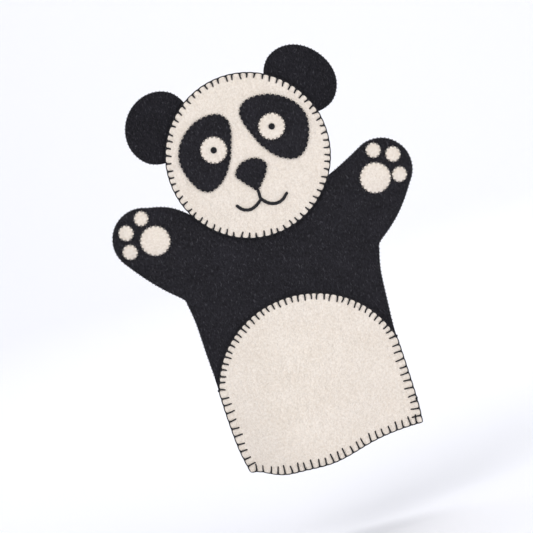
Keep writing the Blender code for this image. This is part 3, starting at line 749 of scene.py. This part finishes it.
class Threads:
    """Strands of thread that make one piece. Its map runs along each strand and round it."""

    def __init__(self):
        self.verts, self.faces, self.uvs = [], [], []

    def strand(self, points, radius, sides=6, end_size=0.7):
        points = [Vector(p) for p in points]
        start = len(self.verts)
        across = None
        rows = []
        for i, p in enumerate(points):
            along = (points[min(i + 1, len(points) - 1)] - points[max(i - 1, 0)]).normalized()
            if across is None:
                across = along.orthogonal().normalized()
            across = (across - along * across.dot(along)).normalized()
            third = along.cross(across)
            rows.append(rows[-1] + (p - points[i - 1]).length if i else 0.0)
            size = radius * (end_size if i in (0, len(points) - 1) else 1.0)
            for k in range(sides):
                turn = 2 * math.pi * k / sides
                out = across * math.cos(turn) + third * math.sin(turn)
                self.verts.append((p + out * size) * MM)
        for i in range(len(points) - 1):
            a, b = start + i * sides, start + (i + 1) * sides
            u0, u1 = rows[i] * MM, rows[i + 1] * MM
            for k in range(sides):
                j = (k + 1) % sides
                v0, v1 = k / sides, (k + 1) / sides
                self.faces.append((a + k, a + j, b + j, b + k))
                self.uvs.append([(u0, v0), (u0, v1), (u1, v1), (u1, v0)])
        last = start + (len(points) - 1) * sides
        ends = (start, reversed(range(sides)), 0.0), (last, range(sides), rows[-1])
        for first, turns, u in ends:
            self.faces.append(tuple(first + k for k in turns))
            self.uvs.append([(u * MM, k / sides) for k in range(sides)])

    def piece(self, name):
        return solid(name, self.verts, self.faces, self.uvs, "Thread")

    def lay(self, name, replaced, body=None, bend=None):
        """Makes the strands one piece of black thread."""
        finish_piece(self.piece(name), BLACK_THREAD, replaced, body, bend)


TWIST_LENGTH = 0.0016
PLIES = 2


def twisted_thread():
    """Two plies laid round each other, with painted shade in the groove between them."""
    thread = Pattern("twisted_thread", {"Place": "Vector", "Ply": "Color", "Groove Shade": "Color"},
                     {"Colour": "Color", "Height": "Float"})
    place = thread.node("SeparateXYZ", {0: thread.given["Place"]})
    round_it = thread.math("MULTIPLY", place["Y"], PLIES * 2 * math.pi)
    turns = thread.math("MULTIPLY_ADD", place["X"], 2 * math.pi / TWIST_LENGTH, round_it)
    ply = thread.ramp(thread.math("SINE", turns), -1.0, 0.6, "LINEAR")
    return thread.give(Colour=thread.mix(ply, thread.given["Groove Shade"], thread.given["Ply"]),
                       Height=ply)


TWISTED_THREAD = twisted_thread()


def thread_material(name, ply, groove_shade, roughness):
    return cloth_material(
        name, TWISTED_THREAD, "Thread", {"Ply": ply, "Groove Shade": groove_shade},
        {"Roughness": roughness, "Specular IOR Level": 0.3, "Sheen Weight": 0.08},
        relief=(0.62, 0.0002))


# The groove colours below are painted shade: each is a darker copy of its thread's ply colour, for
# the shadow between the plies.
BLACK_THREAD = thread_material(
    "black_cotton_thread", (0.013, 0.013, 0.017), (0.005, 0.005, 0.007), 0.75)
CREAM_THREAD = thread_material(
    "cream_cotton_thread", (0.80, 0.73, 0.66), (0.62, 0.55, 0.48), 0.8)


def at(p, depth, face):
    return (p[0], FACING[face] * float(depth), p[1])


def beside(point, along, inset, shift=0.0):
    """The place this far in from a point on an edge, and this far along the edge."""
    return (point[0] - along[1] * inset + along[0] * shift,
            point[1] + along[0] * inset + along[1] * shift)


# Where the thread of a blanket stitch lies, as distances in from the edge, heights over the felt
# and distances along the edge: the loop that the next stitch pulls tight, and the leg's thick root.
EDGE_LOOP = ((-0.1, -0.4, -1.2), (0.08, -0.3, -0.6), (0.35, -0.05, 0.0), (0.08, -0.3, 0.6),
             (-0.1, -0.4, 1.2))
LEG_ROOT = ((-0.05, -0.5), (0.1, 0.0), (0.5, 0.24), (1.2, 0.34), (1.9, 0.2), (2.3, -0.3))


def blanket_row(threads, row, top, face, edge_depth, radius=THREAD_RADIUS, seed=0):
    """One leg for each stitch, from the edge in over the felt to where it dives, and the thread
    that runs along the edge from each leg to the next."""
    draw = random.Random(seed)
    for point, leg, along in row:
        if leg is None:
            continue
        length = math.hypot(*leg)
        way = (leg[0] / length, leg[1] / length)
        inward = (-along[1], along[0])
        sway = draw.uniform(-0.3, 0.3)

        def put(distance, depth, direction=way, shift=0.0):
            p = (point[0] + direction[0] * distance, point[1] + direction[1] * distance)
            bow = shift + sway * math.sin(math.pi * min(max(distance / length, 0), 1))
            p = (p[0] + along[0] * bow, p[1] + along[1] * bow)
            return at(p, top(*p) + depth, face)

        threads.strand([
            put(-0.05, -edge_depth, inward, -0.35), put(0.02, -0.25, inward, -0.2),
            put(0.55, 0.2), put(length * 0.35, 0.26), put(length * 0.7, 0.22),
            put(length - 0.25, 0.14), put(length + 0.1, -0.3), put(length + 0.2, -0.8),
        ], radius)
        threads.strand([put(d, depth, inward, s) for d, depth, s in EDGE_LOOP], radius * 0.9)
        threads.strand([put(d, depth) for d, depth in LEG_ROOT], radius * 1.15)
    run = []
    for (a, _, along), (b, _, _) in zip(row, row[1:]):
        for t in (0.0, 0.25, 0.5, 0.75):
            p = (a[0] + (b[0] - a[0]) * t, a[1] + (b[1] - a[1]) * t)
            run.append(beside(p, along, -(0.1 + 0.22 * math.sin(math.pi * t))))
    run.append(row[-1][0])
    threads.strand([at(p, top(*p) - edge_depth + 0.1, face) for p in run], radius * 0.8)


def corner(path):
    """The start of a path, where the thread only turns a corner, with no leg."""
    a, b = path[0], path[1]
    length = math.dist(a, b)
    return a, None, ((b[0] - a[0]) / length, (b[1] - a[1]) / length)


def fastening_knot(threads, middle, top, size=0.75, thread=0.42, turns=3, steps=8):
    """The small knot at the edge where one length of thread ends and the next starts."""
    path = []
    for i in range(turns * steps + 1):
        turn = 2 * math.pi * i / steps
        p = (middle[0] + size * math.cos(turn) * 0.8, middle[1] + size * math.sin(turn * 1.15))
        path.append(at(p, top(*middle) - 0.3 + 0.5 * math.sin(turn * 0.6), "front"))
    threads.strand(path, thread)


EDGE_DEPTH = 0.7  # of the thread along an edge, below the face of the felt
KNOTS = (("left", BELLY_SIDE_Z["left"] + 1.5), ("left", 15.5),
         ("right", BELLY_SIDE_Z["right"] + 1.5))

belly_top = body_level("front", 2 * FELT + AIR)
blanket = Threads()
whole = []
for path, row in zip((hem, left_side, belly_arc, right_side), BELLY_ROWS.values()):
    whole += [corner(path)] + row
blanket_row(blanket, whole + whole[:1], belly_top, "front", EDGE_DEPTH, seed="belly")
for side, knot_z in KNOTS:
    fastening_knot(blanket, (SIGN[side] * (side_x(knot_z, side) - 0.2), knot_z), belly_top)
blanket.lay("belly_blanket_stitch_thread", ("belly_blanket_stitch",), "torso")

# ------------------------------------------------------------------------- the hem and the seams
# The back's open edge has the same blanket stitch as the belly. The sides above the belly, the
# arms and the paws are closed by a fine black thread that goes over and over both sheets' edges.

back_hem = stitch_row(hem_all("back", EDGE_INSET), 5.0, 5.2, "back hem", first=0.75, uneven=0.16)
blanket = Threads()
blanket_row(blanket, back_hem, body_level("back", FELT), "back", EDGE_DEPTH, seed="back hem")
blanket.lay("back_hem_blanket_stitch", ("back_hem_stitch",), "torso")


def round_edge(threads, stitch, tops, places, radius):
    """A strand from the front, round the edge of both sheets, to the back. Each place is its
    distance in from the edge and along it, and its height over a face. With no face, the height
    is a share of the depth of both faces: below 0 in front, above 0 behind."""
    point, _, along = stitch
    path = []
    for inset, shift, height, face in places:
        p = beside(point, along, inset, shift)
        if face:
            path.append(at(p, tops[face](*p) + height, face))
        else:
            deep = tops["front" if height < 0 else "back"](*point)
            path.append((p[0], height * float(deep), p[1]))
    threads.strand(path, radius, sides=5)


def overcast(threads, row, tops, radius=0.34, seed=0):
    """A stitch at each place: from the front, over the edge, down the back."""
    draw = random.Random(seed)
    for stitch in row:
        reach = math.hypot(*stitch[1])
        skew = draw.uniform(0.7, 1.3)
        round_edge(threads, stitch, tops, (
            (reach + 0.2, -0.5 * skew, -0.5, "front"), (reach - 0.1, -0.5 * skew, 0.1, "front"),
            (0.6, -0.2 * skew, 0.12, "front"), (-0.12, 0.0, -0.45, None),
            (-0.12, 0.1 * skew, 0.45, None), (0.6, 0.25 * skew, 0.12, "back"),
            (reach - 0.1, 0.5 * skew, 0.1, "back"), (reach + 0.2, 0.5 * skew, -0.5, "back"),
        ), radius)


OVER_THE_EDGE = (
    (0.7, 0.0, -0.2, "front"), (0.3, 0.0, 0.05, "front"), (-0.15, 0.0, -0.5, None),
    (-0.15, 0.0, 0.5, None), (0.35, 0.0, 0.1, "back"), (2.2, 0.0, 0.18, "back"),
    (3.4, 0.0, 0.1, "back"), (3.8, 0.0, -0.5, "back"),
)


def over_the_edge(threads, row, tops, radius=0.4):
    """The part of each blanket stitch that goes round the edge of both sheets, to a short leg."""
    for stitch in row:
        round_edge(threads, stitch, tops, OVER_THE_EDGE, radius)


body_top = {face: body_level(face, FELT) for face in FACING}
for side in SIGN:
    whip = Threads()
    overcast(whip, SEAM_ROW[side], body_top, seed=side)
    over_the_edge(whip, BELLY_ROWS[side], {"front": belly_top, "back": body_top["back"]})
    whip.lay(f"{side}_seam_overcast", (f"{side}_arm_seam_stitch", f"{side}_side_seam_stitch"),
             bend=arm_bend(side))

# ------------------------------------------------------------------------------------ the paws
# A round palm and three round toes on each paw, cut from cream felt and tacked down with cream
# thread. The tacking draws their edges in, so that they look finely notched and a little puffed.

TRIM = 1.5


def middle_of(node):
    low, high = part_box(node)
    return ((low.x + high.x) / 2 / MM, (low.z + high.z) / 2 / MM), (high.x - low.x) / 2 / MM


def ring_of(centre, radius, seed, wobble=0.02, count=72):
    """A circle cut by hand."""
    draw = random.Random(seed)
    waves = [(k, draw.uniform(-1, 1) * wobble / k, draw.uniform(0, 6.28)) for k in (2, 3, 4, 5)]
    made = []
    for i in range(count):
        turn = 2 * math.pi * i / count
        size = radius * (1 + sum(a * math.sin(k * turn + s) for k, a, s in waves))
        made.append((centre[0] + size * math.cos(turn), centre[1] + size * math.sin(turn)))
    return made


# A tacking stitch, as distances in from the edge and heights over the trim's face, then over the
# felt that the trim lies on.
TACK_ON_TRIM = ((1.2, -0.5), (0.95, -0.02), (0.45, 0.02), (0.12, -0.5))
TACK_BELOW = ((-0.1, 0.3), (-0.45, -0.25))
TACK_RADIUS = 0.2


def tacked_trim(name, outline, level, material, thread, replaced, body,
                pitch=3.4, puff=0.35, step=0.5, grid=1.3):
    """A small piece of felt laid on another sheet, with a tacking stitch over its edge at each
    notch. Returns the level of its face."""
    row = stitch_row(outline, pitch, 1.0, name, uneven=0.2, lean_deg=12.0, closed=True)
    sheet = felt_sheet(name, outline, "front", level, thick=TRIM, step=step, grid=grid, rounded=0.5,
                       stitches=row, pull=1.2, pull_reach=0.85, press=0.5, puff=puff)
    finish_piece(sheet, material, replaced, body)
    tacks = Threads()
    top = over(level, TRIM)
    for point, _, along in row:
        path = []
        for base, places in ((top, TACK_ON_TRIM), (level, TACK_BELOW)):
            for inset, height in places:
                p = beside(point, along, inset)
                path.append(at(p, base(*p) + height, "front"))
        tacks.strand(path, TACK_RADIUS, sides=5)
    stitches = tacks.piece(name + "_tacking")
    stitches.data.materials.append(thread)
    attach(stitches, body)
    return top


def cream_round(name, centre, radius, seed, level, node, body, puff):
    """A tacked circle of cream felt."""
    return tacked_trim(name, ring_of(centre, radius, seed), level, CREAM_FELT, CREAM_THREAD,
                       (node,), body,
                       puff=puff)


# How far each pad lies across and up from its place in the frame, and its size against it.
paw_face = body_level("front", FELT + 0.1)
PADS = {
    "left": {"palm_pad": (1.2, -0.5, 1.0), "toe_pad_1": (0.5, 1.4, 1.0),
             "toe_pad_2": (0.0, 0.1, 1.03), "toe_pad_3": (-0.9, -0.9, 1.04)},
    "right": {"palm_pad": (0.6, 0.7, 0.97), "toe_pad_1": (0.2, 1.4, 0.98),
              "toe_pad_2": (0.2, -0.3, 1.03), "toe_pad_3": (0.5, 0.0, 1.035)},
}
for side in SIGN:
    for pad, (across, up, size) in PADS[side].items():
        node = f"{side}_{pad}"
        centre, radius = middle_of(node)
        cream_round(node + "_felt", (centre[0] + across, centre[1] + up), radius * size, node,
                    paw_face, node, side + "_arm", puff=0.6)

# ------------------------------------------------------------------------------------ the head
# Two discs of cream felt, with the neck between their lower edges and the ears between their
# upper ones. Black blanket stitch goes round both, over the edge.

EAR_RADIUS = 25.2
EAR_FLAT = {"left": 2.2, "right": 0.9}
EAR_ROOT_NARROWING = 2.4
EAR_REACH = {"left": HEAD_RADIUS + 5.9, "right": HEAD_RADIUS + 6.5}
EAR_ANGLE_DEG = {"left": 39.2, "right": 33.3}
HEAD_DEPTH = 8.0
HEAD_RIM_INSET = 0.4
EAR_GAP_REACH = 8.0  # over which the discs close up beside an ear
NECK_GAP_REACH = 16.0  # over which they close up above the neck


def ear_point(side, reach, across):
    """A place on an ear: how far out from the middle of the head, and how far across the ear."""
    angle = math.radians(EAR_ANGLE_DEG[side])
    x, z = SIGN[side] * math.cos(angle), math.sin(angle)
    return x * reach - z * across * SIGN[side], HEAD_Z + z * reach + x * across * SIGN[side]


EAR_MIDDLE = {side: ear_point(side, EAR_REACH[side], 0.0) for side in SIGN}


def shape_of_head(x, z, face):
    """How far the inside of a head disc stands from the middle plane."""
    radius = np.hypot(x, z - HEAD_Z)
    past_ear = np.minimum(*(np.hypot(x - EAR_MIDDLE[side][0], z - EAR_MIDDLE[side][1]) - EAR_RADIUS
                            for side in SIGN))
    spread = (1 - ease((past_ear - 0.5) / EAR_GAP_REACH)) * (TRIM + AIR + 0.2)
    own = SEWN / 2 + spread + HEAD_DEPTH * crown(radius / (HEAD_RADIUS - SEAM_WIDTH))
    uneven = swell(x, z, 40.0, 0.3, "head" + face) + swell(x, z, 13.0, 0.08, face)
    own = own + np.minimum(own / LOOSE_RISE, 1) * uneven
    near_body = 1 - ease((z - NECK_TOP_Z - 2.0) / NECK_GAP_REACH)
    body = body_level(face, FELT + AIR)(x, np.minimum(z, NECK_TOP_Z + 4)) * near_body
    return both(own, body, 7.0)


HEAD = {face: Chart(shape_of_head, face) for face in FACING}


def head_level(face, offset=0.0):
    return over(HEAD[face], offset)


def clear_of_ears(point):
    """Whether the discs of the head lie on each other here, with no ear or neck between them."""
    past_ear = min(math.dist(point, middle) for middle in EAR_MIDDLE.values()) - EAR_RADIUS
    return point[1] >= NECK_TOP_Z + 3 and past_ear > 2


HEAD_RIM = arc((0.0, HEAD_Z), HEAD_RADIUS - HEAD_RIM_INSET, -90.0, 270.0, 144)[:-1]
head_top = {face: head_level(face, FELT) for face in FACING}
for face in FACING:
    row = stitch_row(HEAD_RIM, 5.3, 3.4, "head " + face, uneven=0.18, lean_deg=11.0, closed=True)
    disc = felt_sheet(f"head_{face}_disc", HEAD_RIM, face, head_level(face), stitches=row, pull=0.6,
                      press=0.5, puff=0.25, rounded=0.65)
    lower = {"front": "chin", "back": "nape"}[face]
    finish_piece(disc, CREAM_FELT, (f"head_{face}_panel", f"{lower}_panel"),
                 bend=NECK_BEND)
    blanket = Threads()
    blanket_row(blanket, row + row[:1], head_top[face], face, 0.8, seed=face)
    if face == "front":
        over_the_edge(blanket, [s for s in row if clear_of_ears(s[0])], head_top)
    blanket.lay(f"head_{face}_blanket_thread",
                (f"head_{face}_blanket_stitch", f"{lower}_blanket_stitch"), bend=NECK_BEND)

# ------------------------------------------------------------------------------------ the face
# Two black felt patches, each with a cream disc and a knot of black thread for the eye, a black
# felt nose, and a mouth in stem stitch that hangs from the nose by one short stitch.

EYE_PATCH = ((-9.0, 25.5), (-17.0, 23.5), (-21.3, 17.5), (-21.0, 10.0), (-17.8, 0.0), (-13.8, -9.5),
             (-7.5, -18.5), (-1.5, -23.3), (5.5, -25.8), (12.0, -23.5), (17.0, -16.5), (20.2, -6.5),
             (20.5, 2.5), (17.0, 11.5), (10.0, 19.0), (1.0, 24.0))
EYE_PATCH_MIDDLE = {"left": (25.2, 227.8), "right": (-27.0, 223.0)}
EYE_PATCH_STRETCH = {"left": (1.075, 0.98), "right": (1.0, 1.01)}
EYE_PATCH_TURN_DEG = {"left": 0.0, "right": 2.0}
EYE_DISC_SIZE = 0.985
NOSE = ((0.5, 9.0), (-6.5, 7.5), (-10.5, 3.8), (-12.3, -0.5), (-8.0, -6.5), (-3.0, -12.0),
        (0.0, -15.0), (2.8, -12.0), (8.0, -6.0), (11.3, 0.5), (10.6, 4.0), (6.5, 7.8))
NOSE_X, NOSE_Z = -0.45, 203.0
MOUTH_CORNER = {"left": (18.6, 181.7), "right": (-17.8, 182.7)}
MOUTH_LOW_Z = {"left": 176.7, "right": 177.6}
MOUTH_TOP = (-0.3, 188.5)
MOUTH_MIDDLE = (0.0, 182.6)


def smooth_loop(points, steps=6):
    made = smooth_path(list(points[-2:]) + list(points) + list(points[:2]), steps)
    return made[2 * steps:(len(points) + 2) * steps]


def anticlockwise(points):
    area = sum(a[0] * b[1] - b[0] * a[1] for a, b in zip(points, points[1:] + points[:1]))
    return points if area > 0 else points[::-1]


def pupil_knot(threads, centre, radius, floor, coils=3, wraps=10, steps=40):
    """Thread wrapped round itself into a ring, with one short stitch across the hole."""
    ring_size, wrap_size = radius * 0.56, radius * 0.24
    path = []
    for i in range(coils * steps + 1):
        turn = 2 * math.pi * i / steps
        roll = turn * wraps / coils
        size = ring_size + wrap_size * math.cos(roll)
        path.append((centre[0] + size * math.cos(turn),
                     -(floor + 0.5 + wrap_size * 0.9 * math.sin(roll)),
                     centre[1] + size * math.sin(turn)))
    threads.strand(path, radius * 0.22)
    across = ((-0.3, -0.3, 0.0), (-0.15, 0.45, 0.0), (0.25, 0.5, 0.1), (0.4, -0.3, 0.0))
    threads.strand([(centre[0] + x, -(floor + height), centre[1] + z) for x, height, z in across],
                   radius * 0.15)


face_top = head_level("front", FELT + 0.1)
for side in SIGN:
    middle = EYE_PATCH_MIDDLE[side]
    wide, tall = EYE_PATCH_STRETCH[side]
    turn = Matrix.Rotation(math.radians(EYE_PATCH_TURN_DEG[side]), 2)
    cut = [turn @ Vector((SIGN[side] * x * wide, z * tall)) for x, z in smooth_loop(EYE_PATCH)]
    outline = anticlockwise([(middle[0] + x, middle[1] + z) for x, z in cut])
    patch_top = tacked_trim(f"{side}_eye_patch_felt", outline, face_top, BLACK_FELT, BLACK_THREAD,
                            (f"{side}_eye_patch",), "head",
                            pitch=3.9, step=0.6,
                            grid=1.8)
    centre, radius = middle_of(f"{side}_eye_disc")
    disc_top = tacked_trim(f"{side}_eye_disc_felt",
                           ring_of(centre, radius * EYE_DISC_SIZE, side + " eye"), patch_top,
                           CREAM_FELT, CREAM_THREAD, (f"{side}_eye_disc",), "head")
    centre, radius = middle_of(f"{side}_pupil")
    knot = Threads()
    pupil_knot(knot, centre, radius, float(disc_top(*centre)) + 0.25)
    knot.lay(f"{side}_pupil_knot", (f"{side}_pupil",), "head")

nose_outline = anticlockwise([(NOSE_X + x, NOSE_Z + z) for x, z in smooth_loop(NOSE)])
tacked_trim("nose_felt", nose_outline, face_top, BLACK_FELT, BLACK_THREAD, ("nose",),
            "head", pitch=3.6,
            puff=0.5, step=0.6, grid=1.6)


def stem_stitches(threads, path, length=4.4, radius=1.1, lift=0.4):
    """Stitches that each start beside the middle of the one before, like a thin rope."""
    total = sum(math.dist(a, b) for a, b in zip(path, path[1:]))
    count = max(1, round((total - length) / (length * 0.55)) + 1)
    step = (total - length) / max(1, count - 1)
    for i in range(count):
        points = []
        for t in (-0.03, 0.05, 0.3, 0.5, 0.7, 0.95, 1.03):
            p, along = along_path(path, min(max(i * step + t * length, 0.0), total - 1e-4))
            height = lift + 0.18 * math.sin(math.pi * t) if 0 < t < 1 else -0.5
            points.append(at(beside(p, along, 0.4 * (0.5 - t)), head_top["front"](*p) + height,
                             "front"))
        threads.strand(points, radius)


smile = Threads()
for side in SIGN:
    end, low = MOUTH_CORNER[side], MOUTH_LOW_Z[side]
    stem_stitches(smile, smooth_path([MOUTH_MIDDLE, (0.22 * end[0], low + 1.8), (0.5 * end[0], low),
                                      (0.78 * end[0], low + 1.2), end], 6))
stem_stitches(smile, smooth_path([MOUTH_TOP, (-0.2, 185.5), MOUTH_MIDDLE], 4), length=4.5)
smile.lay("mouth_stem_stitch", ("left_mouth_stitch", "right_mouth_stitch"), bend=NECK_BEND)

# ------------------------------------------------------------------------------------ the ears
# Two round layers of black felt each, overcast together round their edge and tucked in between the
# discs of the head, whose blanket stitch holds them. Their felt is painted darker than the body's,
# as painted shade for ears that stand back.

# The ears' felt is the black felt with lower tones: painted shade for ears that stand back behind
# the head.
EAR_SHADED_FELT = felt_material(
    "deep_black_wool_felt", ground=(0.0140, 0.0133, 0.0178), shade=(0.0045, 0.0043, 0.0058),
    light=(0.044, 0.042, 0.052), fleck=(0.062, 0.060, 0.070), fleck_amount=0.6, sheen=0.04)
EAR_TUCK = 9.0
EAR_FOLD_START = 58.5
EAR_FOLD_END = 68.0
EAR_DEPTH = 0.9


def ear_arc(side, low, count=60):
    """The ear's round edge from where it goes under the head's edge, round to the other side."""
    reach = EAR_REACH[side]
    start = math.atan2(math.sqrt(EAR_RADIUS**2 - (low - reach) ** 2), low - reach)
    made = []
    for i in range(count + 1):
        turn = -start + 2 * start * i / count
        flat, narrow = EAR_FLAT[side] * math.cos(2 * turn), min(0.0, math.cos(turn))
        radius = EAR_RADIUS - flat + EAR_ROOT_NARROWING * narrow
        made.append(ear_point(side, reach + radius * math.cos(turn), radius * math.sin(turn)))
    return anticlockwise(made)


def shape_of_ear(x, z, side):
    """How far the inside of an ear's layer stands from the middle plane."""
    off = np.hypot(x - EAR_MIDDLE[side][0], z - EAR_MIDDLE[side][1])
    clear_of_head = ease((np.hypot(x, z - HEAD_Z) - HEAD_RADIUS - 2) / 14)
    return SEWN / 2 + EAR_DEPTH * crown(off / (EAR_RADIUS - 2)) * clear_of_head


def ear_bend(side):
    """The bodies on either side of an ear's fold, and its span: a strip just outside the edge of
    the head.
    """
    start, end = (ear_point(side, reach, 0.0) for reach in (EAR_FOLD_START, EAR_FOLD_END))
    return "head", side + "_ear", in_metres(start[0], 0, start[1]), in_metres(end[0], 0, end[1])


for side in SIGN:
    outline = ear_arc(side, HEAD_RADIUS - EAR_TUCK)
    row = stitch_row(ear_arc(side, HEAD_RADIUS), OVERCAST_PITCH, OVERCAST_LEG, side + " ear",
                     first=0.4)
    ear_rise = Chart(shape_of_ear, side)
    for face in FACING:
        ear = felt_sheet(f"{side}_ear_{face}_felt", outline, face, over(ear_rise, 0.0), thick=TRIM,
                         rounded=0.5, stitches=row, press=0.1)
        finish_piece(ear, EAR_SHADED_FELT,
                     (f"{side}_ear_{face}_flap", f"{side}_ear_{face}_root"), bend=ear_bend(side))
    whip = Threads()
    overcast(whip, row, dict.fromkeys(FACING, over(ear_rise, TRIM)), seed=side + " ear")
    whip.lay(f"{side}_ear_overcast", (f"{side}_ear_seam_stitch",), bend=ear_bend(side))

# ------------------------------------------------------------------------------------ the room
# A plain pale floor that curves up into a wall, soft light from all round, and the camera, which
# leans so that the puppet stands tilted in its view. The hem is off the floor, as on a hand, and
# this section counts in metres.

AIM = Vector((-0.00965, -0.008, 0.1357))
LEAN_DEG = 16.4
CAMERA_UP_DEG = 5.0
CAMERA_DISTANCE = 1.80
LENS = 173.3

FLOOR_GAP = 0.055
ROOM_REACH = 6.0
WALL_Y = 3.2
WALL_BEND = 0.9

profile = [(y, 0.0) for y in (-ROOM_REACH, -2.0, 0.0, WALL_Y - WALL_BEND)]
profile += [(WALL_Y - WALL_BEND + WALL_BEND * math.sin(a), WALL_BEND * (1 - math.cos(a)))
            for a in (math.pi / 2 * i / 16 for i in range(1, 17))]
profile += [(WALL_Y, ROOM_REACH)]
belly_pieces = [o for o in bpy.data.objects if o.name.startswith("belly")]
floor_z = min(v.co.z for o in belly_pieces for v in o.data.vertices) - FLOOR_GAP
verts = [(x, y, z + floor_z) for x in (-ROOM_REACH, ROOM_REACH) for y, z in profile]
count = len(profile)
faces = [(i, count + i, count + i + 1, i + 1) for i in range(count - 1)]
mesh = bpy.data.meshes.new("paper_backdrop")
mesh.from_pydata(verts, [], faces)
mesh.polygons.foreach_set("use_smooth", [True] * len(mesh.polygons))
backdrop = bpy.data.objects.new("paper_backdrop", mesh)
bpy.context.scene.collection.objects.link(backdrop)
paper = bpy.data.materials.new("pale_paper")
paper.use_nodes = True
shader = paper.node_tree.nodes["Principled BSDF"]
shader.inputs["Base Color"].default_value = (0.93, 0.93, 0.965, 1.0)
shader.inputs["Roughness"].default_value = 0.9
mesh.materials.append(paper)

world = bpy.data.worlds.new("soft_room")
world.use_nodes = True
sky = world.node_tree.nodes["Background"].inputs
sky["Color"].default_value = (0.97, 0.98, 1.0, 1.0)
sky["Strength"].default_value = 0.65
bpy.context.scene.world = world


def soft_light(name, place, size, power, target=AIM, colour=(1.0, 1.0, 1.0)):
    light = bpy.data.lights.new(name, "AREA")
    light.shape = "DISK"
    light.size = size
    light.energy = power
    light.color = colour
    made = bpy.data.objects.new(name, light)
    made.location = place
    made.rotation_mode = "QUATERNION"
    made.rotation_quaternion = (target - Vector(place)).to_track_quat("-Z", "Y")
    bpy.context.scene.collection.objects.link(made)


soft_light("key_softbox", (-0.9, -1.3, 1.3), 1.2, 9.5)
soft_light("fill_softbox", (1.2, -1.2, 0.7), 1.2, 7.0)
soft_light("wall_wash", (0.3, 1.0, 2.2), 1.8, 26.0, Vector((0.2, 2.4, 0.1)), (0.97, 0.98, 1.0))

camera = bpy.data.cameras.new("camera")
camera.lens = LENS
camera.sensor_width = 36.0
camera.clip_start, camera.clip_end = 0.01, 50.0
eye = bpy.data.objects.new("camera", camera)
bpy.context.scene.collection.objects.link(eye)
bpy.context.scene.camera = eye
up = math.radians(CAMERA_UP_DEG)
back = Vector((0.0, -math.cos(up), math.sin(up)))
eye.location = AIM + back * CAMERA_DISTANCE
lean = math.radians(LEAN_DEG)
top = Vector((math.sin(lean), 0.0, math.cos(lean)))
right = top.cross(back).normalized()
true_up = back.cross(right)
eye.rotation_mode = "QUATERNION"
eye.rotation_quaternion = Matrix((right, true_up, back)).transposed().to_quaternion()

bpy.context.scene.view_settings.view_transform = "Standard"
